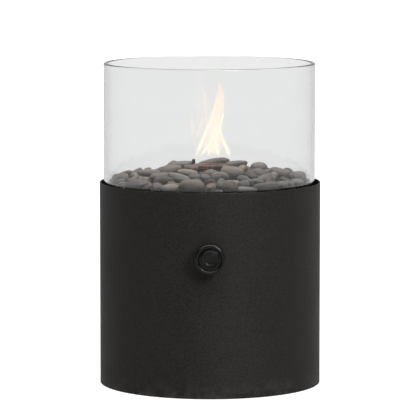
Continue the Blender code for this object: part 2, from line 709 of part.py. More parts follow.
def make_ignition_parts():
    electrode_x, electrode_y = probe_place(1)
    probe_x, probe_y = probe_place(-1)
    half = TUBE_RADIUS + BRACKET_MARGIN
    outline = []
    steps = 16
    for end in (-45, 135):
        middle = polar(probe_circle + BRACKET_MARGIN - half, end)
        for step in range(steps + 1):
            angle = radians(end - 90 + 180 * step / steps)
            outline.append((middle[0] + half * cos(angle), middle[1] + half * sin(angle)))
    holes = [circle(TUBE_RADIUS + HOLE_PLAY, MEDIUM),
             circle(CERAMIC_RADIUS + HOLE_PLAY, SMALL, (electrode_x, electrode_y)),
             circle(PROBE_RADIUS + HOLE_PLAY, SMALL, (probe_x, probe_y))]
    bracket_low = tray_floor + BRACKET_RISE
    plate("probe_bracket", [outline, *holes], bracket_low, TAB_SHEET, zinc_steel)

    low = plate_top + PROBE_RISE
    ceramic_top = burner_top - CERAMIC_DROP
    ceramic = [(0, ceramic_top), (CERAMIC_RADIUS * 0.68, ceramic_top),
               (CERAMIC_RADIUS, ceramic_top - CERAMIC_CHAMFER), (CERAMIC_RADIUS, low), (0, low)]
    turned("spark_electrode", ceramic, SMALL, white_ceramic, location=(electrode_x, electrode_y, 0))
    start = ceramic_top + GAP
    inward = (probe_circle - TIP_LEAN) / probe_circle
    wire = [(electrode_x, electrode_y, start), (electrode_x, electrode_y, burner_top - 0.003),
            (electrode_x * inward, electrode_y * inward, burner_top)]
    tube("electrode_tip", smooth_route(wire, 2 * TIP_WIRE), TIP_WIRE, stainless)

    probe_top = burner_top + PROBE_STAND
    probe = [(0, probe_top), (PROBE_RADIUS * 0.6, probe_top),
             (PROBE_RADIUS, probe_top - PROBE_RADIUS * 0.6), (PROBE_RADIUS, low), (0, low)]
    turned("flame_probe", probe, SMALL, stainless, location=(probe_x, probe_y, 0))


# ---- valve ---------------------------------------------------------------------------------

def make_valve():
    top = valve_top
    regulator_low = valve_mouth + REGULATOR_LOW
    regulator_high = valve_mouth + REGULATOR_HIGH
    body = [(0, top), (VALVE_FLANGE_RADIUS, top), (VALVE_FLANGE_RADIUS, top - VALVE_FLANGE_HEIGHT),
            (VALVE_NECK_RADIUS, top - VALVE_FLANGE_HEIGHT - VALVE_NECK_TAPER),
            (VALVE_NECK_RADIUS, regulator_high + REGULATOR_CHAMFER),
            (REGULATOR_RADIUS, regulator_high), (REGULATOR_RADIUS, regulator_low),
            (INLET_RADIUS, regulator_low - REGULATOR_CHAMFER), (INLET_RADIUS, valve_mouth),
            (0, valve_mouth)]
    valve = turned("valve_body", body, MEDIUM, brass)
    boss = rod("valve_boss", BOSS_RADIUS, -BOSS_REAR, BOSS_FRONT, MEDIUM, stem_axis)
    boolean(valve, boss, "UNION")
    jet_bore = JET_SHANK + HOLE_PLAY
    jet_floor = top - JET_DEPTH - CUT_PAST
    thread = NIPPLE_RADIUS + HOLE_PLAY
    socket = nipple_top + THREAD_END_GAP
    groove = SEAL_OUTER + SEAL_PLAY
    passage = [(0, top + CUT_PAST), (jet_bore, top + CUT_PAST), (jet_bore, jet_floor),
               (PORT_RADIUS, jet_floor), (PORT_RADIUS, socket), (thread, socket),
               (thread, valve_mouth + SEAL_GROOVE), (groove, valve_mouth + SEAL_GROOVE),
               (groove, valve_mouth - CUT_PAST), (0, valve_mouth - CUT_PAST)]
    gas_way = turned("gas_way", passage, MEDIUM, None, group=cutters)
    boolean(valve, gas_way)
    bore = rod("plug_bore", PLUG_RADIUS + HOLE_PLAY, -BOSS_REAR - CUT_PAST,
               BOSS_FRONT + CUT_PAST, MEDIUM, stem_axis)
    boolean(valve, bore)
    for number, side in enumerate((-1, 1), 1):
        hole = rod(f"valve_screw_hole_{number}", SCREW_RADIUS + HOLE_PLAY,
                   top - VALVE_SCREW_DEPTH, top + CUT_PAST, SMALL, centre,
                   (side * valve_screw_circle, 0, 0))
        boolean(valve, hole)

    low = nipple_seat + GAP
    middle = low + SEAL_HEIGHT / 2
    high = low + SEAL_HEIGHT - GAP
    seal = [(SEAL_OUTER - SEAL_ROUND, high), (SEAL_OUTER, middle),
            (SEAL_OUTER - SEAL_ROUND, low), (SEAL_INNER + SEAL_ROUND, low),
            (SEAL_INNER, middle), (SEAL_INNER + SEAL_ROUND, high)]
    turned("inlet_seal", seal, MEDIUM, black_rubber)

    pin_bore = PIN_RADIUS + PIN_PLAY
    plug = [(PLUG_RADIUS, plug_front), (PLUG_RADIUS, -PLUG_REAR), (pin_bore, -PLUG_REAR),
            (pin_bore, PLUG_STEP), (stem_bore, PLUG_STEP), (stem_bore, plug_front)]
    valve_plug = turned("valve_plug", plug, MEDIUM, brass, stem_axis)
    reach = PLUG_RADIUS + CUT_PAST
    port = rod("plug_port", PORT_RADIUS, -reach, reach, SMALL, stem_axis)
    port.rotation_euler = (pi / 2, 0, 0)
    boolean(valve_plug, port)

    rear = -BOSS_REAR - GAP
    nose = rear + MAGNET_NOSE
    end = rear - MAGNET_LENGTH
    magnet = [(0, nose), (MAGNET_NOSE_RADIUS, nose), (MAGNET_NOSE_RADIUS, rear),
              (MAGNET_FLANGE_RADIUS, rear), (MAGNET_FLANGE_RADIUS, rear - MAGNET_FLANGE),
              (MAGNET_RADIUS, rear - MAGNET_FLANGE), (MAGNET_RADIUS, end + MAGNET_CHAMFER),
              (MAGNET_RADIUS - MAGNET_CHAMFER, end), (0, end)]
    turned("magnet_unit", magnet, SMALL, zinc_steel, stem_axis)
    nut_front = end - GAP
    nut = ring(NUT_RADIUS, CAPILLARY_RADIUS + HOLE_PLAY, nut_front - NUT_LENGTH, nut_front)
    turned("capillary_nut", nut, NUT_FACETS, brass, stem_axis)
    return nut_front


def make_cam():
    """A spiral edge that pushes the plunger to the right as the knob turns anticlockwise."""
    outline = []
    peak = KNOB_TURN + CAM_OVERRUN
    for step in range(CAM_STEPS + 1):
        angle = peak * step / CAM_STEPS
        radius = CAM_RADIUS + CAM_RISE_PER_RADIAN * angle
        outline.append((radius * cos(-angle), radius * sin(-angle)))
    fallen = peak + CAM_DROP
    for step in range(1, CAM_STEPS):
        angle = fallen + (2 * pi - fallen) * step / CAM_STEPS
        outline.append((CAM_RADIUS * cos(-angle), CAM_RADIUS * sin(-angle)))
    plate("cam", [outline, circle(stem_bore, MEDIUM)], cam_back, CAM_SHEET, black_plastic, stem_axis)


def make_stem_and_knob():
    stem_front = knob_front - KNOB_SOCKET - GAP
    pin_front = PLUG_STEP + KNOB_TRAVEL + PIN_SHOULDER
    pin_rear = pin_front - PIN_LENGTH
    stem = [(0, stem_front), (STEM_RADIUS, stem_front), (STEM_RADIUS, pin_front),
            (PIN_RADIUS, pin_front), (PIN_RADIUS, pin_rear), (0, pin_rear)]
    turned("stem", stem, SMALL, zinc_steel, stem_axis)
    collar = ring(SPRING_COLLAR_RADIUS, stem_bore, collar_back, collar_back + SPRING_COLLAR)
    turned("spring_collar", collar, SMALL, zinc_steel, stem_axis)

    helix = []
    steps = SPRING_TURNS * SPRING_STEPS
    for step in range(steps + 1):
        angle = 2 * pi * step / SPRING_STEPS
        along = spring_back + SPRING_LENGTH * step / steps
        helix.append((SPRING_RADIUS * cos(angle), SPRING_RADIUS * sin(angle), along))
    tube("stem_spring", helix, SPRING_WIRE, spring_steel, stem_axis, resolution=1)

    back = knob_back
    front = knob_front
    floor = front - KNOB_RECESS_DEPTH
    inner = KNOB_RADIUS - KNOB_SKIN
    hub = stem_bore + KNOB_HUB_WALL
    hub_back = back + KNOB_HUB_INSET
    socket = front - KNOB_SOCKET
    roof = front - KNOB_ROOF
    knob = [(0, floor), (KNOB_RECESS, floor), (KNOB_RECESS, front - EDGE),
            (KNOB_RECESS + EDGE, front), (KNOB_RADIUS - 2 * EDGE, front),
            (KNOB_RADIUS - EDGE / 2, front - EDGE / 2), (KNOB_RADIUS, front - 2 * EDGE),
            (KNOB_RADIUS, back + EDGE), (KNOB_RADIUS - EDGE, back), (inner, back),
            (inner, roof), (hub, roof), (hub, hub_back), (stem_bore, hub_back),
            (stem_bore, socket), (0, socket)]
    turned("knob", knob, MEDIUM, black_plastic, stem_axis)
    low = floor + GAP
    rim = low + KNOB_CAP_RIM
    crest = front - KNOB_CAP_TOP
    cap = [(0, crest - KNOB_CAP_DISH), (KNOB_CAP_RADIUS * 0.55, crest - KNOB_CAP_DISH * 0.8),
           (KNOB_CAP_RADIUS - EDGE, crest), (KNOB_CAP_RADIUS, crest - EDGE),
           (KNOB_CAP_RADIUS, rim), (KNOB_RECESS - GAP, rim), (KNOB_RECESS - GAP, low), (0, low)]
    turned("knob_cap", cap, MEDIUM, black_plastic, stem_axis)


def make_piezo():
    bore = PLUNGER_RADIUS + HOLE_PLAY
    tip = CAM_RADIUS + PLUNGER_GAP
    plunger_end = piezo_face + PLUNGER_SEAT
    bottom = plunger_end + CAM_RISE_PER_RADIAN * KNOB_TURN + PLUNGER_END_GAP
    shoulder = (PIEZO_RADIUS + PIEZO_NOSE_RADIUS) / 2
    body = [(0, piezo_end), (PIEZO_NOSE_RADIUS, piezo_end), (shoulder, piezo_end - PIEZO_NOSE / 2),
            (PIEZO_RADIUS, piezo_end - PIEZO_NOSE), (PIEZO_RADIUS, piezo_face + PIEZO_EDGE),
            (PIEZO_RADIUS - PIEZO_EDGE, piezo_face), (bore, piezo_face), (bore, bottom),
            (0, bottom)]
    turned("piezo_igniter", body, SMALL, black_plastic, piezo_axis)
    plunger = [(0, plunger_end), (PLUNGER_RADIUS, plunger_end),
               (PLUNGER_RADIUS, tip + PLUNGER_CONE), (PLUNGER_TIP, tip), (0, tip)]
    turned("piezo_plunger", plunger, SMALL, white_ceramic, piezo_axis)

    # The clip's sheet stands across the igniter. Its local X points down, so -X is up.
    clip = PIEZO_RADIUS + HOLE_PLAY
    outer = clip + CLIP_WALL
    half = CLIP_STRAP / 2
    rise = plate_bottom - GAP - knob_height
    outline = [(-rise, -half)]
    start = pi - asin(half / outer)
    steps = MEDIUM
    for step in range(steps + 1):
        angle = -start + 2 * start * step / steps
        outline.append((outer * cos(angle), outer * sin(angle)))
    outline.append((-rise, half))
    place = (piezo_face + piezo_end - PIEZO_NOSE) / 2
    plate("piezo_clip", [outline, circle(clip, MEDIUM)], place, CLIP_WIDTH, zinc_steel, piezo_axis)


# ---- leads, held along their whole way -----------------------------------------------------

def make_leads(nut_front):
    # Each route is written as stops between the two ends that it joins.
    electrode_x, electrode_y = probe_place(1)
    front = -cam_middle
    over = plate_top + 0.0050
    under_rods = plate_top + PROBE_RISE - GAP
    end_x = piezo_end + GAP
    lead = [(end_x, front, knob_height), (end_x + 0.006, front + 0.001, knob_height + 0.0008),
            (*lead_crossing, plate_bottom - 0.004), (*lead_crossing, plate_top + 0.002),
            (0.052, -0.0235, over), (0.036, -0.0195, over - 0.001),
            (electrode_x + 0.0070, electrode_y - 0.0015, plate_top + 0.0024),
            (electrode_x + 0.0006, electrode_y - 0.0002, plate_top + 0.0036),
            (electrode_x, electrode_y, plate_top + 0.0055),
            (electrode_x, electrode_y, under_rods)]
    tube("ignition_lead", smooth_route(lead, LEAD_SPACING), LEAD_RADIUS, lead_silicone)

    probe_x, probe_y = probe_place(-1)
    behind = -nut_front
    capillary = [(probe_x, probe_y, under_rods),
                 (probe_x, probe_y, plate_top + 0.0055),
                 (probe_x - 0.0004, probe_y + 0.0022, plate_top + 0.0035),
                 (probe_x - 0.0015, probe_y + 0.0090, plate_top + 0.0035),
                 (*capillary_crossing, plate_top),
                 (capillary_crossing[0], capillary_crossing[1] + 0.001, plate_bottom - 0.004),
                 (-0.016, behind + 0.008, knob_height + 0.004),
                 (-0.008, behind + 0.018, knob_height + 0.0005),
                 (-0.0006, behind + 0.014, knob_height), (0, behind + 0.004, knob_height)]
    tube("probe_capillary", smooth_route(capillary, CAPILLARY_SPACING), CAPILLARY_RADIUS, copper)


# ---- gas cartridge -------------------------------------------------------------------------

def make_cartridge():
    low = CAN_GROUND_GAP
    wall = CAN_WALL
    crown = can_top - CAN_CRIMP_HEIGHT
    shoulder = can_top - CAN_SHOULDER
    # The dome bulges from the shoulder up to the crimp: a few points on a quarter ellipse.
    dome = []
    for step in range(DOME_STEPS + 1):
        bend = pi / 2 * step / DOME_STEPS
        radius = CAN_CRIMP + (CAN_RADIUS - CAN_CRIMP) * sin(bend)
        dome.append((radius, shoulder + (crown - shoulder) * cos(bend)))
    outside = [(CAN_CRIMP, can_top), *dome,
               (CAN_RADIUS, low + CAN_FOOT / 2), (CAN_RADIUS - CAN_FOOT / 2, low),
               (CAN_RADIUS - CAN_FOOT, low), (CAN_RADIUS - CAN_FOOT - 0.004, low + 0.004),
               (0, low + CAN_DISH)]
    inside_dome = [(radius - wall, height - wall) for radius, height in dome[::-1]]
    inside = [(0, low + CAN_DISH + wall), (CAN_RADIUS - CAN_FOOT - 0.0037, low + 0.004 + wall),
              (CAN_RADIUS - CAN_FOOT + 0.0005, low + wall),
              (CAN_RADIUS - wall, low + CAN_FOOT / 2 + wall), *inside_dome,
              (CAN_CRIMP - wall, can_top - MOUTH_SHEET), (CAN_MOUTH, can_top - MOUTH_SHEET),
              (CAN_MOUTH, can_top)]
    turned("gas_cartridge", inside + outside, WIDE, can_paint)

    seat = can_top + GAP
    shank = CAN_MOUTH - GAP
    bottom = can_top - NIPPLE_DEPTH
    nipple = [(0, nipple_top), (NIPPLE_RADIUS - NIPPLE_EDGE, nipple_top),
              (NIPPLE_RADIUS, nipple_top - NIPPLE_EDGE), (NIPPLE_RADIUS, nipple_seat),
              (NIPPLE_FLANGE_RADIUS, nipple_seat), (NIPPLE_FLANGE_RADIUS, seat), (shank, seat),
              (shank, bottom), (0, bottom)]
    turned("cartridge_valve", nipple, MEDIUM, stainless)


make_mantle()
make_base()
make_tabs()
make_plates()
make_tray()
make_glass()
make_pebble_bed()
make_burner()
make_ignition_parts()
rear_of_valve = make_valve()
make_cam()
make_stem_and_knob()
make_piezo()
make_leads(rear_of_valve)
make_cartridge()

for made in heater.objects:
    if made.type == "MESH" and not made.modifiers:
        smooth(made.data)
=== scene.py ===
"""Looks of a tabletop gas fire lantern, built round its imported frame."""
import json
import random
from math import atan2, cos, hypot, pi, radians, sin, sqrt

import bmesh
import bpy
import numpy as np
from mathutils import Matrix, Vector, noise


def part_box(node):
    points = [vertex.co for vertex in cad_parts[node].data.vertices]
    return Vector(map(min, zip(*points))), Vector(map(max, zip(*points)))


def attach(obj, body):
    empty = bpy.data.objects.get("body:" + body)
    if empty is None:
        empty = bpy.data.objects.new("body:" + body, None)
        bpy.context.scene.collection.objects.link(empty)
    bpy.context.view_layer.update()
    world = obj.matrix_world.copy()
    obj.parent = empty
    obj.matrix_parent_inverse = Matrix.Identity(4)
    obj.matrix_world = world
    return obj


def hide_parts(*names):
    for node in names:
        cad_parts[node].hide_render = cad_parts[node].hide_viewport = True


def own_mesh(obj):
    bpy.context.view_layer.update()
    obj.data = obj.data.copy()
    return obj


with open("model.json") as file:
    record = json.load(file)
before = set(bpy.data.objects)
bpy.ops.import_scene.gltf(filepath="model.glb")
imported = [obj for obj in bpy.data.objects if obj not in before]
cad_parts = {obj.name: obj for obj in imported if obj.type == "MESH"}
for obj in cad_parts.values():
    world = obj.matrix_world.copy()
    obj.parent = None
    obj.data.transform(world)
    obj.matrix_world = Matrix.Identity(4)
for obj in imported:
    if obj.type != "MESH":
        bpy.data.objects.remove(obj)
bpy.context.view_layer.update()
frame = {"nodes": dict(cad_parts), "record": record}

nodes = frame["nodes"]

# ---- sizes, all read from the frame ---------------------------------------------------------

mantle_low, mantle_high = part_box("mantle")
AXIS_X = (mantle_low.x + mantle_high.x) / 2
AXIS_Y = (mantle_low.y + mantle_high.y) / 2
MANTLE_RADIUS = (mantle_high.x - mantle_low.x) / 2
glass_low, glass_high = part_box("glass_cylinder")
GLASS_RADIUS = (glass_high.x - glass_low.x) / 2
GLASS_WALL = 0.004
tray_low, tray_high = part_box("stone_tray")
bed_low, bed_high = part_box("pebble_bed")
burner_low, burner_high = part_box("burner_cup")
knob_low, knob_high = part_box("knob")
KNOB_RADIUS = (knob_high.x - knob_low.x) / 2
KNOB_DEPTH = knob_high.y - knob_low.y
KNOB_HEIGHT = (knob_low.z + knob_high.z) / 2
FLAME_FOOT = burner_high.z + 0.002
SHEET = 0.0012                   # the steel sheet of the mantle, the base ring and the tray
FINE = 192                       # facets round the large turned pieces
MIDDLING = 64


# ---- helpers for meshes ---------------------------------------------------------------------

def to_mesh(name, shape):
    """The bmesh as a mesh; the bmesh is used up."""
    mesh = bpy.data.meshes.new(name)
    shape.to_mesh(mesh)
    shape.free()
    return mesh


def joined(shapes):
    """One bmesh that holds all of these."""
    whole = bmesh.new()
    for shape in shapes:
        part = to_mesh("part", shape)
        whole.from_mesh(part)
        bpy.data.meshes.remove(part)
    return whole


def add_object(name, data):
    """A new object of the scene: a mesh, a light or a camera."""
    made = bpy.data.objects.new(name, data)
    bpy.context.scene.collection.objects.link(made)
    return made


def add_piece(name, mesh, finish, body, replaces=()):
    """A piece that rides on a body and stands for CAD nodes."""
    mesh.materials.append(finish)
    piece = add_object(name, mesh)
    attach(piece, body)
    if replaces:
        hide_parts(*replaces)
    return piece


def finish_piece(name, shape, finish, body, replaces=(), sharp=35, recalculate=True):
    """Makes the bmesh a smooth piece whose edges stay sharp past the angle."""
    bmesh.ops.remove_doubles(shape, verts=shape.verts, dist=0.000002)
    if recalculate:
        bmesh.ops.recalc_face_normals(shape, faces=shape.faces)
    mesh = to_mesh(name, shape)
    mesh.shade_smooth()
    mesh.set_sharp_from_angle(angle=radians(sharp))
    return add_piece(name, mesh, finish, body, replaces)


def braced(profile, closed):
    """Adds a point near both ends of each long run, so that its shading stays flat."""
    gap, long = 0.0018, 0.012
    points = []
    ends = profile[1:] + (profile[:1] if closed else [])
    for here, there in zip(profile, ends):
        points.append(here)
        run = hypot(there[0] - here[0], there[1] - here[1])
        if run > long:
            for share in (gap / run, 1 - gap / run):
                points.append(tuple(a + (b - a) * share for a, b in zip(here, there)))
    return points if closed else points + profile[-1:]


def spun(profile, steps, closed=True, middle=(AXIS_X, AXIS_Y)):
    """A bmesh turned round a vertical axis from points (radius, height)."""
    shape = bmesh.new()
    profile = braced(profile, closed)
    points = [shape.verts.new((middle[0] + radius, middle[1], height))
              for radius, height in profile]
    edges = [shape.edges.new(pair) for pair in zip(points, points[1:])]
    if closed:
        edges.append(shape.edges.new((points[-1], points[0])))
    bmesh.ops.spin(shape, geom=points + edges, cent=(*middle, 0), axis=(0, 0, 1),
                   angle=2 * pi, steps=steps, use_merge=True)
    bmesh.ops.remove_doubles(shape, verts=shape.verts, dist=0.000002)
    bmesh.ops.recalc_face_normals(shape, faces=shape.faces)
    return shape


def soften(shape, width, segments=2, angle=40):
    """Rounds every edge that is sharper than the angle."""
    limit = radians(angle)
    sharp = [edge for edge in shape.edges
             if len(edge.link_faces) == 2 and edge.calc_face_angle(0) > limit]
    bmesh.ops.bevel(shape, geom=sharp, offset=width, offset_type="OFFSET", segments=segments,
                    profile=0.5, affect="EDGES", material=-1, clamp_overlap=True)
    return shape


def scaled_cube(width, depth, height):
    """A block round the origin, to be cut and softened further."""
    shape = bmesh.new()
    bmesh.ops.create_cube(shape, size=1.0)
    bmesh.ops.scale(shape, verts=shape.verts, vec=(width, depth, height))
    return shape


def lay_forward(shape, y_back):
    """Turns a piece spun about Z so that its axis points to the front at the knob's height."""
    turn = Matrix.Rotation(pi / 2, 4, "X")
    place = Matrix.Translation((AXIS_X, y_back, KNOB_HEIGHT))
    bmesh.ops.transform(shape, matrix=place @ turn, verts=shape.verts)
    return shape


def refined(node, finish, body, bevel):
    """A merged copy of a CAD node with softened edges and smooth round sides."""
    shape = bmesh.new()
    shape.from_mesh(nodes[node].data)
    bmesh.ops.remove_doubles(shape, verts=shape.verts, dist=0.00002)
    bmesh.ops.dissolve_limit(shape, angle_limit=radians(0.5), verts=shape.verts,
                             edges=shape.edges, delimit={"NORMAL"})
    if bevel:
        soften(shape, bevel, 2, 38)
    bmesh.ops.triangulate(shape, faces=[face for face in shape.faces if len(face.verts) > 4])
    return finish_piece("fine_" + node, shape, finish, body, (node,), 32, False)


# ---- helpers for materials ------------------------------------------------------------------

def put(near, kind, **values):
    """A shader node of this kind beside a socket; values set its inputs or settings by name."""
    made = near.id_data.nodes.new("ShaderNode" + kind)
    for name, value in values.items():
        label = name.replace("_", " ").title()
        if hasattr(made, name) and name not in ("location", "width", "height"):
            setattr(made, name, value)
        elif label in made.inputs:
            made.inputs[label].default_value = value
        else:
            raise KeyError(f"{kind} has no {name}")
    return made


def wire(source, target):
    target.id_data.links.new(source, target)


def group(name, inputs, outputs):
    """A shader node group with float, vector or colour sockets."""
    made = bpy.data.node_groups.new(name, "ShaderNodeTree")
    for label, kind, value in inputs:
        socket = made.interface.new_socket(name=label, in_out="INPUT", socket_type=kind)
        if value is not None:
            socket.default_value = value
    for label, kind in outputs:
        made.interface.new_socket(name=label, in_out="OUTPUT", socket_type=kind)
    return made, made.nodes.new("NodeGroupInput"), made.nodes.new("NodeGroupOutput")


FLOAT, VECTOR = "NodeSocketFloat", "NodeSocketVector"


def math(operation, first, second):
    """An operation on two sockets, or on a socket and a number."""
    near = first if isinstance(second, (int, float)) else second
    made = put(near, "Math", operation=operation)
    for place, value in enumerate((first, second)):
        if isinstance(value, (int, float)):
            made.inputs[place].default_value = value
        else:
            wire(value, made.inputs[place])
    return made.outputs[0]


def times(first, second):
    return math("MULTIPLY", first, second)


def plus(first, second):
    return math("ADD", first, second)


def ranged(value, low, high, out_low=0.0, out_high=1.0, smooth=True):
    """Maps low..high to out_low..out_high and holds the ends."""
    made = put(value, "MapRange", interpolation_type="SMOOTHSTEP" if smooth else "LINEAR",
               from_min=low, from_max=high, to_min=out_low, to_max=out_high)
    wire(value, made.inputs["Value"])
    return made.outputs[0]


def level(mask, low, high):
    """low where the mask is 0 and high where it is 1."""
    return ranged(mask, 0.0, 1.0, low, high)


def split(vector):
    """A vector's X, Y and Z."""
    parts = put(vector, "SeparateXYZ")
    wire(vector, parts.inputs[0])
    return parts.outputs


def stretched(vector, **values):
    """The vector moved, turned or scaled by a Mapping node."""
    mapping = put(vector, "Mapping", **values)
    wire(vector, mapping.inputs["Vector"])
    return mapping.outputs[0]


def make_mottle():
    """Soft patches between 0 and 1."""
    tree, source, out = group("mottle", [("Vector", VECTOR, None), ("Scale", FLOAT, 40.0),
                                         ("Detail", FLOAT, 4.0), ("Contrast", FLOAT, 2.0)],
                              [("Mask", FLOAT)])
    cloud = put(tree, "TexNoise", roughness=0.55)
    for label in ("Vector", "Scale", "Detail"):
        wire(source.outputs[label], cloud.inputs[label])
    centred = math("SUBTRACT", cloud.outputs["Fac"], 0.5)
    clamp = put(tree, "Clamp")
    wire(plus(times(centred, source.outputs["Contrast"]), 0.5), clamp.inputs["Value"])
    wire(clamp.outputs[0], out.inputs["Mask"])
    return tree


def make_peel():
    """The fine pebbled skin of a powder coat or of moulded plastic, as a height."""
    tree, source, out = group("fine_skin", [("Vector", VECTOR, None), ("Scale", FLOAT, 1500.0)],
                              [("Height", FLOAT)])
    cells = put(tree, "TexVoronoi", feature="SMOOTH_F1", smoothness=0.6)
    cloud = put(tree, "TexNoise", detail=3.0, roughness=0.6)
    for texture in (cells, cloud):
        wire(source.outputs["Vector"], texture.inputs["Vector"])
    wire(source.outputs["Scale"], cells.inputs["Scale"])
    wire(times(source.outputs["Scale"], 0.45), cloud.inputs["Scale"])
    lumps = math("SUBTRACT", 1.0, cells.outputs["Distance"])
    wire(plus(times(lumps, 0.6), cloud.outputs["Fac"]), out.inputs["Height"])
    return tree


def make_scuffs():
    """Thin straight scratches and small rubs, as a mask."""
    tree, source, out = group("scuffs", [("Vector", VECTOR, None), ("Scale", FLOAT, 60.0),
                                         ("Amount", FLOAT, 0.3)], [("Mask", FLOAT)])
    masks = []
    for turn, stretch in ((0.5, (1.0, 14.0, 3.0)), (2.1, (16.0, 1.0, 2.0))):
        drawn = stretched(source.outputs["Vector"], rotation=(turn, turn * 0.7, turn),
                          scale=stretch)
        cloud = put(tree, "TexNoise", detail=2.0, roughness=0.7)
        wire(drawn, cloud.inputs["Vector"])
        wire(source.outputs["Scale"], cloud.inputs["Scale"])
        masks.append(ranged(cloud.outputs["Fac"], 0.66, 0.72))
    both = math("MAXIMUM", *masks)
    wire(times(both, source.outputs["Amount"]), out.inputs["Mask"])
    return tree


def make_low_dust():
    """Dust that thins out upwards, broken up by patches."""
    tree, source, out = group("low_dust", [("Vector", VECTOR, None), ("Low", FLOAT, 0.0),
                                           ("High", FLOAT, 0.03)], [("Mask", FLOAT)])
    fade = put(tree, "MapRange", interpolation_type="SMOOTHSTEP", to_min=1.0, to_max=0.0)
    wire(split(source.outputs["Vector"])["Z"], fade.inputs["Value"])
    wire(source.outputs["Low"], fade.inputs["From Min"])
    wire(source.outputs["High"], fade.inputs["From Max"])
    cloud = put(tree, "TexNoise", scale=90.0, detail=5.0, roughness=0.65)
    wire(source.outputs["Vector"], cloud.inputs["Vector"])
    patches = ranged(cloud.outputs["Fac"], 0.4, 0.68)
    wire(times(fade.outputs[0], patches), out.inputs["Mask"])
    return tree


MOTTLE, PEEL, SCUFFS, LOW_DUST = make_mottle(), make_peel(), make_scuffs(), make_low_dust()


def begin(name, **plain):
    """A material with a Principled shader; plain sets the shader's own sockets."""
    made = bpy.data.materials.new(name)
    made.use_nodes = True
    tree = made.node_tree
    shader = tree.nodes["Principled BSDF"]
    for label, value in plain.items():
        socket = shader.inputs[label.replace("_", " ").title().replace("Ior", "IOR")]
        socket.default_value = value
    return made, shader, put(tree, "TexCoord").outputs["Object"]


def use(effect, place, **values):
    """An effect's mask or height at a place, with its own values."""
    made = put(place, "Group", node_tree=effect)
    wire(place, made.inputs["Vector"])
    for label, value in values.items():
        made.inputs[label.title()].default_value = value
    return made.outputs[0]


def blend_colours(mask, first, second):
    """first where the mask is 0 and second where it is 1; each is a colour or a socket."""
    made = put(mask, "Mix", data_type="RGBA")
    wire(mask, made.inputs["Factor"])
    for label, colour in (("A", first), ("B", second)):
        sockets = [socket for socket in made.inputs if socket.name == label]
        socket = next(item for item in sockets if item.type == "RGBA")
        if isinstance(colour, tuple):
            socket.default_value = (*colour, 1.0)
        else:
            wire(colour, socket)
    return next(item for item in made.outputs if item.type == "RGBA")


def tint(mask, share, under, over):
    """Lays a colour over another where the mask is, at a share of its strength."""
    return blend_colours(times(mask, share), under, over)


def ramp(value, stops):
    """The colour at a value, between stops of (place, colour)."""
    made = put(value, "ValToRGB")
    spots = made.color_ramp.elements
    spots[0].color = (*stops[0][1], 1.0)
    spots[1].color = (*stops[-1][1], 1.0)
    for place, colour in stops[1:-1]:
        spots.new(place).color = (*colour, 1.0)
    wire(value, made.inputs["Fac"])
    return made.outputs["Color"]


def dress(shader, colour, gloss, height, strength, depth):
    """Gives the shader its colour, its roughness and a bump of this height and depth."""
    relief = put(height, "Bump", strength=strength, distance=depth)
    wire(height, relief.inputs["Height"])
    wire(colour, shader.inputs["Base Color"])
    wire(gloss, shader.inputs["Roughness"])
    wire(relief.outputs[0], shader.inputs["Normal"])


def make_coat(name, tones, patches, layers, gloss, skin, rubs=None, rings=0.0, **plain):
    """A finish with cloudy tones and layers over them: stains, specks or dust.

    A layer is an effect, its values, its share and its colour. gloss is the lowest and highest
    roughness, skin the grain's scale, strength and depth, rubs the scratches' scale and amount,
    and rings the pitch of a turned piece's tool marks."""
    made, shader, place = begin(name, **plain)
    cloud = use(MOTTLE, place, **patches)
    scratches = use(SCUFFS, place, scale=rubs[0], amount=rubs[1]) if rubs else None
    colour = blend_colours(cloud, *tones)
    for effect, values, share, over in layers:
        colour = tint(use(effect, place, **values), share, colour, over)
    rough = level(cloud, *gloss)
    if rubs:
        rough = plus(rough, scratches)
    scale, strength, depth = skin
    height = use(PEEL, place, scale=scale)
    if rings:
        marks = put(place, "TexWave", wave_type="RINGS", rings_direction="Z", scale=rings,
                    distortion=0.4)
        centred = stretched(place, location=(-AXIS_X, -AXIS_Y, 0))
        wire(centred, marks.inputs["Vector"])
        height = plus(height, times(marks.outputs["Fac"], 0.6))
    dress(shader, colour, rough, height, strength, depth)
    return made


def make_plastic(name, tones, roughness, skin, shine=0.5):
    return make_coat(name, tones, {"scale": 140.0, "contrast": 2.0}, (),
                     (roughness, roughness + 0.08), (skin, 0.12, 0.00006), (90.0, 0.25),
                     specular_ior_level=shine)


def make_metal(name, tones, gloss, grain, stain=None, rings=0.0):
    """Bare metal, cloudy and rubbed, with a stain or the rings of the lathe."""
    blots = {"scale": grain * 0.35, "detail": 6.0, "contrast": 5.0}
    return make_coat(name, tones, {"scale": grain, "detail": 5.0, "contrast": 2.6},
                     ((MOTTLE, blots, 0.45, stain),) if stain else (), gloss,
                     (2400.0, 0.15, 0.00005), (110.0, 0.35), rings, metallic=1.0)


def make_clear_glass():
    made, shader, place = begin("clear_glass", base_color=(0.962, 0.966, 0.966, 1.0),
                                transmission_weight=1.0, ior=1.48)
    smudge = use(MOTTLE, place, scale=16.0, detail=3.0, contrast=3.0)
    wire(ranged(smudge, 0.35, 1.0, 0.0, 0.018), shader.inputs["Roughness"])
    waves = put(place, "TexNoise", scale=9.0, detail=1.0)
    wire(place, waves.inputs["Vector"])
    ripple = put(place, "Bump", strength=0.10, distance=0.0004)
    wire(waves.outputs["Fac"], ripple.inputs["Height"])
    wire(ripple.outputs[0], shader.inputs["Normal"])
    return made


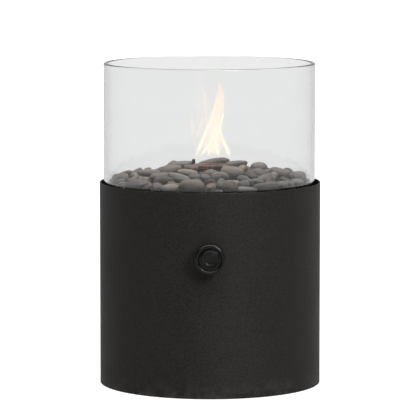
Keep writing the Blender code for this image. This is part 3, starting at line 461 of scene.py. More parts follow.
def make_river_stone():
    """Each pebble carries its own tone, from blue-grey through taupe to brown."""
    made, shader, place = begin("river_stone", specular_ior_level=0.35)
    tone, upper = (put(place, "Attribute", attribute_name=name).outputs["Fac"]
                   for name in ("tone", "upper"))
    colour = ramp(tone, ((0.0, (0.045, 0.044, 0.043)), (0.25, (0.082, 0.081, 0.079)),
                         (0.6, (0.128, 0.125, 0.120)), (0.80, (0.150, 0.124, 0.098)),
                         (0.94, (0.175, 0.171, 0.162)), (1.0, (0.330, 0.255, 0.180))))
    veins = use(MOTTLE, place, scale=70.0, detail=5.0, contrast=2.4)
    grain = use(MOTTLE, place, scale=900.0, detail=3.0, contrast=2.6)
    rust = use(MOTTLE, place, scale=32.0, detail=3.0, contrast=5.0)
    veined = put(place, "Mix", data_type="RGBA", blend_type="MULTIPLY")
    veined.inputs["Factor"].default_value = 1.0
    shade = blend_colours(veins, (0.72, 0.72, 0.74), (1.12, 1.10, 1.08))
    wire(colour, veined.inputs[6])
    wire(shade, veined.inputs[7])
    colour = tint(rust, 0.22, veined.outputs[2], (0.21, 0.115, 0.060))
    colour = tint(grain, 0.18, colour, (0.030, 0.028, 0.027))
    # Painted shade: each stone is darkened towards its underside, where the stones round it shade
    # it.
    colour = blend_colours(level(upper, 0.72, 0.0), colour, (0.016, 0.015, 0.014))
    height = plus(times(veins, 0.6), grain)
    dress(shader, colour, level(veins, 0.50, 0.72), height, 0.25, 0.00015)
    return made


def make_spangle():
    """Zinc-plated sheet: crystal flakes of slightly different tone."""
    made, shader, place = begin("zinc_spangle", metallic=1.0)
    flakes = put(place, "TexVoronoi", scale=210.0, randomness=1.0)
    wire(place, flakes.inputs["Vector"])
    tone = put(place, "SeparateColor")
    wire(flakes.outputs["Color"], tone.inputs[0])
    dust = use(MOTTLE, place, scale=45.0, contrast=3.0)
    colour = blend_colours(tone.outputs[0], (0.40, 0.41, 0.42), (0.60, 0.61, 0.61))
    colour = tint(dust, 0.30, colour, (0.22, 0.20, 0.18))
    dress(shader, colour, level(tone.outputs[1], 0.28, 0.50),
          use(PEEL, place, scale=1800.0), 0.10, 0.00005)
    return made


def make_hot_steel():
    """Stainless steel by the flame: straw and blue tints, soot, and a glow at its very top."""
    made, shader, place = begin("hot_steel", metallic=1.0, emission_strength=1.2)
    height = split(place)["Z"]
    rise = ranged(height, burner_low.z, burner_high.z, smooth=False)
    cloud = use(MOTTLE, place, scale=160.0, detail=4.0, contrast=2.0)
    heat = plus(rise, times(cloud, 0.25))
    colour = ramp(heat, ((0.0, (0.46, 0.45, 0.43)), (0.45, (0.50, 0.38, 0.20)),
                         (0.66, (0.30, 0.16, 0.18)), (0.80, (0.10, 0.09, 0.11)),
                         (0.90, (0.028, 0.022, 0.020)), (1.0, (0.018, 0.015, 0.013))))
    specks = use(MOTTLE, place, scale=620.0, detail=2.0, contrast=3.0)
    embers = ranged(specks, 0.74, 1.0)
    rim = burner_high.z
    top = ranged(height, rim - 0.0026, rim - 0.0012)
    over = ranged(height, rim - 0.0002, rim + 0.0004, 1.0, 0.0)
    glow = blend_colours(times(embers, times(top, over)), (0.0, 0.0, 0.0), (0.8, 0.17, 0.03))
    wire(glow, shader.inputs["Emission Color"])
    dress(shader, colour, level(cloud, 0.30, 0.55), use(PEEL, place, scale=2400.0), 0.15, 0.00005)
    return made


def make_ceramic():
    made, shader, place = begin("electrode_ceramic", specular_ior_level=0.5)
    soot = ranged(split(place)["Z"], burner_low.z, burner_high.z)
    cloud = use(MOTTLE, place, scale=300.0, contrast=2.5)
    clean = blend_colours(cloud, (0.74, 0.71, 0.65), (0.84, 0.82, 0.77))
    dress(shader, tint(soot, 0.8, clean, (0.10, 0.085, 0.07)),
          level(cloud, 0.16, 0.34), use(PEEL, place, scale=1200.0), 0.08, 0.00005)
    return made


def make_can_paint():
    """A lacquered can: one plain band above a darker body, bare rims, a few scratches."""
    made, shader, place = begin("can_lacquer", coat_roughness=0.12)
    low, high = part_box("gas_cartridge")
    span = high.z - low.z
    height = split(place)["Z"]
    band = times(ranged(height, low.z + span * 0.42, low.z + span * 0.425),
                 ranged(height, low.z + span * 0.56, low.z + span * 0.565, 1.0, 0.0))
    bare = math("MAXIMUM", ranged(height, low.z + 0.004, low.z + 0.0045, 1.0, 0.0),
                ranged(height, high.z - 0.008, high.z - 0.0075))
    cloud = use(MOTTLE, place, scale=60.0, contrast=2.0)
    rubs = use(SCUFFS, place, scale=45.0, amount=0.8)
    body = blend_colours(cloud, (0.018, 0.075, 0.125), (0.026, 0.096, 0.155))
    body = blend_colours(band, body, (0.52, 0.54, 0.53))
    steel = math("MAXIMUM", bare, rubs)
    wire(steel, shader.inputs["Metallic"])
    wire(level(steel, 0.6, 0.0), shader.inputs["Coat Weight"])
    dress(shader, blend_colours(steel, body, (0.50, 0.50, 0.49)),
          level(cloud, 0.26, 0.38), use(PEEL, place, scale=700.0), 0.06, 0.00005)
    return made


def make_flame(name, core, edge, solid, soft_from, strength):
    """Fire on a ribbon's own map: U runs across it and V from its foot to its tip."""
    made, shader, _ = begin(name, base_color=(0.0, 0.0, 0.0, 1.0), roughness=1.0,
                            specular_ior_level=0.0, emission_strength=strength)
    flow = put(shader, "UVMap", uv_map="flow").outputs[0]
    across, along, _ = split(flow)
    side = times(math("ABSOLUTE", math("SUBTRACT", across, 0.5), 0.0), 2.0)
    middle = ranged(side, soft_from, 1.0, 1.0, 0.0)
    foot = ranged(along, 0.0, 0.16)
    tip = ranged(along, 0.74, 1.0, 1.0, 0.0)
    streaks = use(MOTTLE, stretched(flow, scale=(3.0, 1.1, 1.0)), scale=1.3,
                  detail=2.0, contrast=1.8)
    lick = level(streaks, 0.72, 1.0)
    body = times(middle, times(foot, tip))
    rise = ranged(along, 0.40, 0.95, 1.0, 0.0)
    heat = times(times(middle, lick), rise)
    wire(blend_colours(heat, edge, core), shader.inputs["Emission Color"])
    wire(times(times(body, lick), solid), shader.inputs["Alpha"])
    return made


POWDER = make_coat("black_powder_coat", ((0.0066, 0.0056, 0.0046), (0.0090, 0.0078, 0.0066)),
                   {"scale": 22.0, "contrast": 2.2},
                   ((MOTTLE, {"scale": 800.0, "detail": 2.0, "contrast": 4.0}, 0.5,
                     (0.024, 0.022, 0.020)),
                    (LOW_DUST, {"low": 0.0, "high": 0.02}, 0.35, (0.060, 0.055, 0.048))),
                   (0.52, 0.60), (1500.0, 0.40, 0.00012), metallic=0.0, specular_ior_level=0.15)
GLASS = make_clear_glass()
STONE = make_river_stone()
KNOB_PLASTIC = make_plastic("knob_plastic", ((0.0022, 0.0021, 0.0018), (0.0036, 0.0034, 0.0030)),
                            0.18, 1800.0, 0.26)
INNER_PLASTIC = make_plastic("igniter_plastic", ((0.012, 0.012, 0.013), (0.022, 0.022, 0.023)),
                             0.40, 1100.0)
SILICONE = make_plastic("lead_silicone", ((0.20, 0.030, 0.022), (0.30, 0.050, 0.036)), 0.48, 900.0)
SPANGLE = make_spangle()
STAINLESS = make_metal("brushed_stainless", ((0.40, 0.39, 0.38), (0.58, 0.57, 0.55)),
                       (0.24, 0.40), 260.0)
BRIGHT_STEEL = make_metal("plated_steel", ((0.46, 0.46, 0.47), (0.66, 0.66, 0.66)),
                          (0.22, 0.36), 420.0, (0.25, 0.22, 0.19))
BRASS = make_metal("turned_brass", ((0.48, 0.32, 0.12), (0.70, 0.50, 0.22)), (0.24, 0.42), 190.0,
                   (0.26, 0.15, 0.07), 900.0)
COPPER = make_metal("drawn_copper", ((0.45, 0.19, 0.10), (0.66, 0.32, 0.19)), (0.28, 0.48),
                    240.0, (0.16, 0.10, 0.08))
HOT_STEEL = make_hot_steel()
RUBBER = make_coat("foot_rubber", ((0.014, 0.014, 0.014), (0.026, 0.025, 0.024)),
                   {"scale": 120.0, "contrast": 2.0},
                   ((LOW_DUST, {"low": 0.0, "high": 0.004}, 0.5, (0.13, 0.12, 0.10)),),
                   (0.70, 0.88), (900.0, 0.2, 0.0001), specular_ior_level=0.3)
CERAMIC = make_ceramic()
CAN_LACQUER = make_can_paint()


# ---- camera, light and floor ----------------------------------------------------------------

CAMERA_BACK = 2.9187             # metres from the lantern's axis
CAMERA_HEIGHT = 0.4900
CAMERA_DOWN = 6.498              # degrees
CAMERA_LENS = 277.3              # millimetres, on a sensor 36 wide
# How bright the table is to the eye, through the glass, and as a light or a reflection.
TABLE_SEEN = 1.0
TABLE_THROUGH = 0.46
TABLE_GLOW = 0.28
SHINE_LEFT = 0.22                # what a reflection keeps of the brightness through the glass
BOUNCE_LEFT = 0.25               # what a diffuse bounce keeps of it
ROOM_FRONT = 0.04                # the room's brightness behind the camera
ROOM_BACK = 0.62                 # and behind the lantern
ROOM_THROUGH = 0.66              # the room as the eye sees it through the glass
# Where each soft box is (degrees to the right of the front, degrees up), the angles from its
# middle at which it is full and gone, and its strength.
SOFT_BOXES = (((26, 24), 3, 11, 34.0), ((10, 78), 15, 60, 3.4))


def seen_directly(near):
    """Light Path's outputs, and a value that is 1 until something bounces the ray."""
    ray = put(near, "LightPath")
    shine = ranged(ray.outputs["Glossy Depth"], 0.0, 1.0, 1.0, SHINE_LEFT, False)
    light = ranged(ray.outputs["Diffuse Depth"], 0.0, 1.0, 1.0, BOUNCE_LEFT, False)
    return ray, times(shine, light)


def make_floor():
    """A lit table: white to the eye, a little greyer through the glass, dim as a light source."""
    made, shader, place = begin("pale_floor", specular_ior_level=0.0, roughness=0.9,
                                emission_strength=1.0)
    cloud = use(MOTTLE, place, scale=1.5, contrast=1.2)
    wire(blend_colours(cloud, (0.19, 0.19, 0.19), (0.21, 0.21, 0.21)), shader.inputs["Base Color"])
    ray, direct = seen_directly(place)
    seen = times(ray.outputs["Is Camera Ray"], TABLE_SEEN - TABLE_GLOW)
    through = times(ray.outputs["Is Transmission Ray"], TABLE_THROUGH - TABLE_GLOW)
    extra = times(direct, plus(seen, through))
    glow = plus(extra, TABLE_GLOW)
    wire(blend_colours(glow, (0.0, 0.0, 0.0), (1.0, 1.0, 1.0)), shader.inputs["Emission Color"])
    return made


def make_camera():
    lens = bpy.data.cameras.new("camera")
    lens.sensor_width = 36.0
    lens.lens = CAMERA_LENS
    lens.clip_start = 0.05
    lens.clip_end = 200.0
    camera = add_object("camera", lens)
    camera.location = (AXIS_X, AXIS_Y - CAMERA_BACK, CAMERA_HEIGHT)
    camera.rotation_euler = (radians(90 - CAMERA_DOWN), 0.0, 0.0)
    bpy.context.scene.camera = camera
    bpy.context.scene.view_settings.view_transform = "Standard"


def make_room():
    """Pale behind the lantern and dark behind the camera, with a small strong soft box to the
    front right and a weaker, wide one overhead."""
    world = bpy.data.worlds.new("studio")
    bpy.context.scene.world = world
    world.use_nodes = True
    tree = world.node_tree
    backdrop = tree.nodes["Background"]
    backdrop.inputs["Color"].default_value = (1.0, 1.0, 1.0, 1.0)
    heading = put(tree, "TexCoord").outputs["Generated"]
    glow = ranged(split(heading)["Y"], -0.55, 0.75, ROOM_FRONT, ROOM_BACK)
    for angles, inner, outer, power in SOFT_BOXES:
        turn, rise = (radians(angle) for angle in angles)
        facing = put(tree, "VectorMath", operation="DOT_PRODUCT")
        facing.inputs[1].default_value = (sin(turn) * cos(rise), -cos(turn) * cos(rise), sin(rise))
        wire(heading, facing.inputs[0])
        lobe = ranged(facing.outputs["Value"], cos(radians(outer)), cos(radians(inner)))
        glow = plus(glow, times(lobe, power))
    ray, direct = seen_directly(heading)
    through = times(ray.outputs["Is Transmission Ray"], direct)
    kept = times(glow, math("SUBTRACT", 1.0, through))
    glow = plus(kept, times(through, ROOM_THROUGH))
    wire(glow, backdrop.inputs["Strength"])


def make_stage():
    make_camera()
    sheet = bmesh.new()
    bmesh.ops.create_grid(sheet, x_segments=24, y_segments=24, size=40.0)
    floor = add_object("floor", to_mesh("floor", sheet))
    floor.data.materials.append(make_floor())
    make_room()
    # The flame's own light, which warms the stones round it.
    fire = bpy.data.lights.new("firelight", "POINT")
    fire.color = (1.0, 0.50, 0.20)
    fire.energy = 0.05
    fire.shadow_soft_size = 0.008
    lamp = add_object("firelight", fire)
    lamp.location = (AXIS_X + 0.002, AXIS_Y, FLAME_FOOT + 0.022)
    lamp.visible_camera = False
    lamp.visible_transmission = False
    lamp.visible_glossy = False


# ---- housing --------------------------------------------------------------------------------

def pierced(shape, radius, y_front):
    """The bmesh with a round hole at the knob's height, cut from the front."""
    drill = bmesh.new()
    bmesh.ops.create_cone(drill, cap_ends=True, segments=48, radius1=radius, radius2=radius,
                          depth=0.02)
    lay_forward(drill, y_front)
    cutter = add_object("hole", to_mesh("hole", drill))
    uncut = add_object("uncut", to_mesh("uncut", shape))
    cut = uncut.modifiers.new("hole", "BOOLEAN")
    cut.object = cutter
    cut.solver = "EXACT"
    made = bmesh.new()
    made.from_object(uncut, bpy.context.evaluated_depsgraph_get())
    for item in (uncut, cutter):
        bpy.data.objects.remove(item)
    return made


def make_mantle():
    inner = MANTLE_RADIUS - SHEET
    foot, rim = mantle_low.z, mantle_high.z
    stem_hole = 0.005
    shape = spun([(MANTLE_RADIUS, rim), (MANTLE_RADIUS, foot), (inner, foot), (inner, rim)], FINE)
    soften(shape, 0.00038, 3)
    shape = pierced(shape, stem_hole, AXIS_Y - MANTLE_RADIUS)
    finish_piece("mantle_shell", shape, POWDER, "housing", ("mantle",), 30)


def make_seam():
    """Where the rolled sheet is welded at the back, ground nearly flat before it was coated."""
    low, high = mantle_low.z + 0.001, mantle_high.z - 0.001
    seam = scaled_cube(0.0016, 0.0005, high - low)
    upright = [edge for edge in seam.edges if abs(edge.verts[0].co.z - edge.verts[1].co.z) > 0.01]
    bmesh.ops.subdivide_edges(seam, edges=upright, cuts=60, use_grid_fill=True)
    soften(seam, 0.0002, 2)
    for vert in seam.verts:
        ripple = noise.noise(Vector((0.0, 3.0, vert.co.z * 400.0)))
        vert.co.y += 0.00008 * ripple * (1 if vert.co.y > 0 else 0)
        vert.co.x += 0.00010 * ripple
    bmesh.ops.translate(seam, verts=seam.verts,
                        vec=(AXIS_X, AXIS_Y + MANTLE_RADIUS - 0.0001, (low + high) / 2))
    finish_piece("mantle_seam", seam, POWDER, "housing")


def make_base_ring():
    low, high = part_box("base_ring")
    outer = (high.x - low.x) / 2
    hole = 0.062
    lip = 0.0055
    shape = spun([(outer, high.z), (outer, low.z), (hole, low.z), (hole, low.z + lip),
                  (hole + SHEET, low.z + lip), (hole + SHEET, low.z + SHEET),
                  (outer - SHEET, low.z + SHEET), (outer - SHEET, high.z)], FINE)
    soften(shape, 0.0004, 3)
    finish_piece("base_ring_fine", shape, POWDER, "housing", ("base_ring",))


def make_feet():
    under, neck = 0.0022, 0.0022            # the pad's top and the neck's radius
    barb = under + 0.0018
    edge = 0.0006
    for number in range(1, 5):
        name = f"rubber_foot_{number}"
        low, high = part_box(name)
        middle = ((low.x + high.x) / 2, (low.y + high.y) / 2)
        radius = (high.x - low.x) / 2
        profile = [(0.0, high.z), (neck * 0.7, high.z), (neck + 0.0012, barb), (neck, barb),
                   (neck, under), (radius, under), (radius, edge), (radius - edge, 0.0),
                   (radius * 0.45, 0.0), (radius * 0.40, edge), (0.0, edge)]
        shape = spun(profile, 40, False, middle)
        soften(shape, 0.00015, 2, 30)
        finish_piece(f"foot_{number}", shape, RUBBER, "housing", (name,))


def make_tray():
    outer = (tray_high.x - tray_low.x) / 2
    collar = 0.026
    floor = tray_low.z + SHEET
    lip = floor + 0.0045
    shape = spun([(outer, lip), (outer, tray_low.z), (collar, tray_low.z),
                  (collar, tray_high.z), (collar + SHEET, tray_high.z), (collar + SHEET, floor),
                  (outer - SHEET, floor), (outer - SHEET, lip)], FINE)
    soften(shape, 0.0004, 2)
    finish_piece("tray_fine", shape, POWDER, "housing", ("stone_tray",))


def make_glass():
    radius = GLASS_RADIUS - 0.0004
    inner = GLASS_RADIUS - GLASS_WALL
    # It stands loose on the tray, a little to the left.
    middle = (AXIS_X - 0.0006, AXIS_Y)
    shape = spun([(radius, glass_high.z), (radius, glass_low.z), (inner, glass_low.z),
                  (inner, glass_high.z)], 256, True, middle)
    soften(shape, 0.0011, 5)
    finish_piece("glass_fine", shape, GLASS, "glass", ("glass_cylinder",), 60)


# ---- pebbles --------------------------------------------------------------------------------

CELL = 0.001
SPAN = 96                                    # cells from the axis to the grid's edge
BED_INNER = 0.0275                           # where the mound starts to fall
BED_OUTER = 0.0917                           # and where it is lowest
INNER_LIMIT = 0.0205                         # nothing lies nearer to the burner's axis
GLASS_LIMIT = GLASS_RADIUS - GLASS_WALL - 0.0016
LIFT = 0.0110                                # the pebbles' depth over the gravel under them
STONES = 330
LARGE_STONES = 190
BATCH = 140                                  # stones in one piece
STEEPEST = 0.6                               # the steepest slope a stone rests on
TOO_HIGH = 0.0020                            # a stone that would rest higher is left out
# The stones that lie uppermost, from the burner outwards. Each has its middle and half sizes in
# millimetres (the height is over the tray), its heading in degrees, its lean and its tone.
TOP_STONES = (
    (2.6, 27.5, 28.3, 3, 15.8, 5.8, 4.2, 0.20, 0.22),
    (0.6, -28.2, 23.0, 0, 7.6, 6.8, 5.2, 0.00, 0.40),
    (20.8, -27.5, 23.4, 8, 12.2, 8.2, 7.2, -0.05, 0.78),
    (-17.8, -19.4, 28.0, 137, 9.2, 4.6, 3.3, 0.00, 0.35),
    (-19.5, -28.5, 24.6, 165, 10.6, 6.0, 3.9, 0.10, 0.84),
    (-34.7, -9.0, 25.2, 12, 11.0, 8.6, 5.0, 0.10, 0.66),
    (-24.3, 21.0, 27.4, 170, 11.8, 6.4, 3.8, -0.08, 0.50),
    (22.0, 17.5, 27.2, 15, 11.2, 6.6, 4.2, 0.16, 0.30),
    (44.8, 12.0, 25.6, 20, 9.2, 7.4, 4.8, 0.06, 0.52),
    (29.5, 0.0, 25.4, 80, 9.4, 5.2, 4.0, 0.05, 0.74),
    (63.7, -10.0, 22.6, 160, 10.2, 6.2, 4.4, 0.32, 0.58),
    (79.0, -14.0, 20.0, 100, 9.8, 8.2, 5.2, 0.00, 0.62),
    (-43.2, -30.0, 21.2, 5, 12.8, 8.2, 4.6, 0.00, 0.56),
    (-55.0, 0.0, 21.6, 8, 11.0, 7.2, 3.6, 0.05, 0.60),
    (-63.5, -49.0, 15.6, 175, 12.2, 9.0, 5.6, 0.00, 0.36),
    (-80.5, -15.0, 17.4, 95, 9.0, 7.6, 6.2, 0.00, 0.64),
    (-36.0, -77.0, 15.8, 20, 8.4, 6.2, 4.2, 0.00, 0.96),
    (31.7, -78.0, 14.4, 165, 11.4, 5.6, 3.4, 0.00, 0.94),
    (50.0, -64.0, 15.8, 35, 14.8, 7.2, 4.2, 0.05, 0.16),
    (17.2, -77.0, 18.0, 10, 7.8, 6.4, 5.6, 0.00, 0.82),
    (47.9, -40.0, 19.8, 40, 10.2, 6.4, 4.8, 0.25, 0.48),
    (32.0, -58.0, 17.8, 20, 9.0, 5.8, 4.0, 0.30, 0.28),
    (-15.3, -75.0, 17.6, 160, 12.4, 8.2, 6.2, 0.00, 0.70),
)


def bed_height(radius):
    """The mound's surface: highest by the burner, lower towards the glass."""
    share = min(1.0, max(0.0, (radius - BED_INNER) / (BED_OUTER - BED_INNER)))
    edge, crown = bed_low.z + 0.0172, bed_high.z - 0.0040
    return edge + (crown - edge) * (1 + cos(pi * share)) / 2


def pebble_mesh(half, seed):
    """One tumbled stone: an uneven ball, thicker at one end and flattened here and there."""
    shape = bmesh.new()
    bmesh.ops.create_icosphere(shape, subdivisions=3, radius=1.0)
    offset = Vector((seed * 7.13, seed * 3.71, seed * 5.37))
    square = 0.05 + 0.42 * ((seed * 0.618) % 1.0)
    taper = 0.50 * (((seed * 0.377) % 1.0) - 0.5)
    bow = 0.34 * (((seed * 0.771) % 1.0) - 0.5)
    for vert in shape.verts:
        point = vert.co.normalized()
        fuller = 0.93 + square * (1.0 - max(abs(point.x), abs(point.y), abs(point.z)))
        lumps = 0.20 * noise.noise(point * 0.9 + offset) + 0.07 * noise.noise(point * 2.1 + offset)
        scaled = point * (fuller + lumps)
        thick = 1.0 + taper * scaled.x
        vert.co = Vector((scaled.x * half[0], (scaled.y * thick + bow * scaled.x ** 2) * half[1],
                          scaled.z * thick * half[2]))
    return shape


def push_into_ring(stone):
    """Moves a stone that reaches past the glass inwards, and one over the burner outwards."""
    for _ in range(3):
        farthest = max(stone.verts, key=lambda vert: hypot(vert.co.x, vert.co.y))
        nearest = min(stone.verts, key=lambda vert: hypot(vert.co.x, vert.co.y))
        over = hypot(farthest.co.x, farthest.co.y) - GLASS_LIMIT
        short = INNER_LIMIT - 0.0008 - hypot(nearest.co.x, nearest.co.y)
        if over > 0:
            way = Vector((farthest.co.x, farthest.co.y, 0)).normalized() * -over
        elif short > 0:
            way = Vector((nearest.co.x, nearest.co.y, 0)).normalized() * short
        else:
            return
        bmesh.ops.translate(stone, verts=stone.verts, vec=way)


def lay_stones():
    """Lays stones one by one, each in the lowest of several places tried, like a settled heap."""
    chance = random.Random(41)
    ticks = np.arange(-SPAN, SPAN + 1) * CELL
    grid_x, grid_y = np.meshgrid(ticks, ticks, indexing="ij")
    target = np.vectorize(bed_height)(np.hypot(grid_x, grid_y))
    ground = target - LIFT
    probes = []
    for name in ("spark_electrode", "flame_probe"):
        low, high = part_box(name)
        probes.append(((low.x + high.x) / 2 - AXIS_X, (low.y + high.y) / 2 - AXIS_Y))
    laid = []

    def settle(x, y, turn, half, lean):
        """Rests a stone on the heap: where its middle comes, its slope and the cells it covers."""
        column, row = round(x / CELL) + SPAN, round(y / CELL) + SPAN
        span = int(half[0] / CELL) + 1
        window = (slice(max(0, column - span), column + span + 1),
                  slice(max(0, row - span), row + span + 1))
        away_x, away_y = grid_x[window] - x, grid_y[window] - y
        along = (away_x * cos(turn) + away_y * sin(turn)) / half[0]
        aside = (away_y * cos(turn) - away_x * sin(turn)) / half[1]
        inside = 1.0 - along ** 2 - aside ** 2
        under = inside > 0.04
        below = ground[window][under]
        flat_x, flat_y = away_x[under], away_y[under]
        sides = np.stack((flat_x, flat_y))
        slope = np.linalg.solve(sides @ sides.T, sides @ (below - below.mean()))
        steep = hypot(*slope)
        if steep > STEEPEST:
            slope = slope * STEEPEST / steep
        slope = slope + np.array((lean * cos(turn), lean * sin(turn)))
        plane = slope[0] * away_x + slope[1] * away_y
        belly = half[2] * np.sqrt(np.clip(inside, 0.0, None))
        rest = float(np.max(below + belly[under] - plane[under]))
        return rest, slope, window, under, rest + plane + belly

    def lay(x, y, turn, half, tone, rest, slope, window, under, top):
        ground[window] = np.where(under, np.maximum(ground[window], top - 0.06 * half[2]),
                                  ground[window])
        laid.append((x, y, rest, turn, half, slope, tone))

    for x, y, height, turn, long, wide, thick, lean, tone in TOP_STONES:
        x, y, turn = x / 1000, y / 1000, radians(turn)
        half = (long / 1000, wide / 1000, thick / 1000)
        rest, slope, window, under, top = settle(x, y, turn, half, 0.0)
        place = bed_low.z + height / 1000
        slope = (lean * cos(turn), lean * sin(turn))
        lay(x, y, turn, half, tone, place, slope, window, under, top + place - rest)
    for number in range(len(TOP_STONES), STONES):
        large = number < LARGE_STONES
        long = chance.uniform(0.0082, 0.0128) if large else chance.uniform(0.0045, 0.0080)
        half = (long, long * chance.uniform(0.55, 0.86), long * chance.uniform(0.36, 0.56))
        best = None
        for _ in range(24 if large else 40):
            turn = chance.uniform(0, 2 * pi)
            bearing = chance.uniform(0, 2 * pi)
            outward = hypot(half[0] * cos(turn - bearing), half[1] * sin(turn - bearing))
            low, high = INNER_LIMIT + outward, GLASS_LIMIT - outward
            distance = sqrt(chance.uniform(low ** 2, high ** 2))
            x, y = distance * cos(bearing), distance * sin(bearing)
            clear = True
            for probe_x, probe_y in probes:
                along = (probe_x - x) * cos(turn) + (probe_y - y) * sin(turn)
                aside = (probe_y - y) * cos(turn) - (probe_x - x) * sin(turn)
                clear = clear and hypot(along / (half[0] + 0.003), aside / (half[1] + 0.003)) > 1
            if not clear:
                continue
            settled = settle(x, y, turn, half, chance.gauss(0, 0.10))
            score = settled[0] + half[2] * 0.4 - bed_height(distance) + chance.uniform(0, 0.0015)
            if best is None or score < best[0]:
                best = (score, x, y, turn, settled)
        if best is None or best[0] > TOO_HIGH:
            continue
        _, x, y, turn, settled = best
        lay(x, y, turn, half, chance.random() * 0.92, *settled)
    return laid


def carry(mesh, **values):
    """Gives each point of a mesh values that its material reads."""
    for name, numbers in values.items():
        mesh.attributes.new(name, "FLOAT", "POINT").data.foreach_set("value", numbers)


def make_pebbles():
    """The laid stones as a few pieces, with each stone's tone and the height on it."""
    heaps = []
    for number, (x, y, rest, turn, half, slope, tone) in enumerate(lay_stones(), 1):
        stone = pebble_mesh(half, number)
        tilt = Vector((0, 0, 1)).rotation_difference(Vector((-slope[0], -slope[1], 1.0)))
        place = Matrix.Translation((x, y, rest)) @ tilt.to_matrix().to_4x4()
        bmesh.ops.transform(stone, matrix=place @ Matrix.Rotation(turn, 4, "Z"), verts=stone.verts)
        push_into_ring(stone)
        bmesh.ops.translate(stone, verts=stone.verts, vec=(AXIS_X, AXIS_Y, 0))
        if not heaps or len(heaps[-1]) == BATCH:
            heaps.append([])
        heaps[-1].append((stone, tone, rest, half[2]))
    for number, stones in enumerate(heaps, 1):
        tones, uppers = [], []
        for stone, tone, rest, thick in stones:
            tones += [tone] * len(stone.verts)
            # Each point's height on its stone, low at the underside, sets how much painted shade
            # it gets.
            uppers += [min(1.0, max(0.0, 0.55 + 0.75 * (vert.co.z - rest) / thick))
                       for vert in stone.verts]
        name = f"pebbles_{number}"
        mesh = to_mesh(name, joined(stone for stone, *_ in stones))
        mesh.shade_smooth()
        carry(mesh, tone=tones, upper=uppers)
        add_piece(name, mesh, STONE, "housing", ("pebble_bed",))


def make_gravel():
    """Small gravel under the stones, so that no tray shows between them."""
    rings, inner, floor = 22, 0.0276, bed_low.z + 0.0002
    profile = []
    for step in range(rings + 1):
        radius = inner + (GLASS_LIMIT - inner) * step / rings
        profile.append((radius, bed_height(radius) - LIFT + 0.0006))
    gravel = spun(profile + [(GLASS_LIMIT, floor), (inner, floor)], 160)
    for vert in gravel.verts:
        if vert.co.z > bed_low.z + 0.001:
            vert.co.z += 0.0016 * noise.noise(vert.co * 260.0)
    mesh = finish_piece("gravel_under", gravel, STONE, "housing",
                        ("pebble_bed",)).data
    count = len(mesh.vertices)
    # The low height value darkens all the gravel with the stones' painted shade.
    carry(mesh, tone=[0.02] * count, upper=[0.2] * count)


# ---- burner and flame -----------------------------------------------------------------------

def make_burner():
    for name in ("burner_cup", "burner_cap", "electrode_tip", "flame_probe"):
        refined(name, HOT_STEEL, "housing", 0.0001)


def ribbon(shape, flow, stations, yaw, centre):
    """A vertical strip through stations (height, across, half width), turned by yaw."""
    columns, rows = 8, 40
    heights, acrosses, widths = (np.array(numbers) for numbers in zip(*stations))
    shares = np.linspace(0.0, 1.0, rows + 1)
    at = heights[0] + (heights[-1] - heights[0]) * shares
    across, width = np.interp(at, heights, acrosses), np.interp(at, heights, widths)
    for _ in range(3):
        for line in (across, width):
            line[1:-1] = (line[:-2] + 2 * line[1:-1] + line[2:]) / 4
    strip = bmesh.ops.create_grid(shape, x_segments=columns, y_segments=rows, size=0.5)["verts"]
    for vert in strip:
        u, v = vert.co.x + 0.5, vert.co.y + 0.5
        for loop in vert.link_loops:
            loop[flow].uv = (u, v)
        offset = (u * 2 - 1) * np.interp(v, shares, width)
        vert.co = (centre[0] + np.interp(v, shares, across) + offset * cos(yaw),
                   centre[1] + offset * sin(yaw), np.interp(v, shares, at))


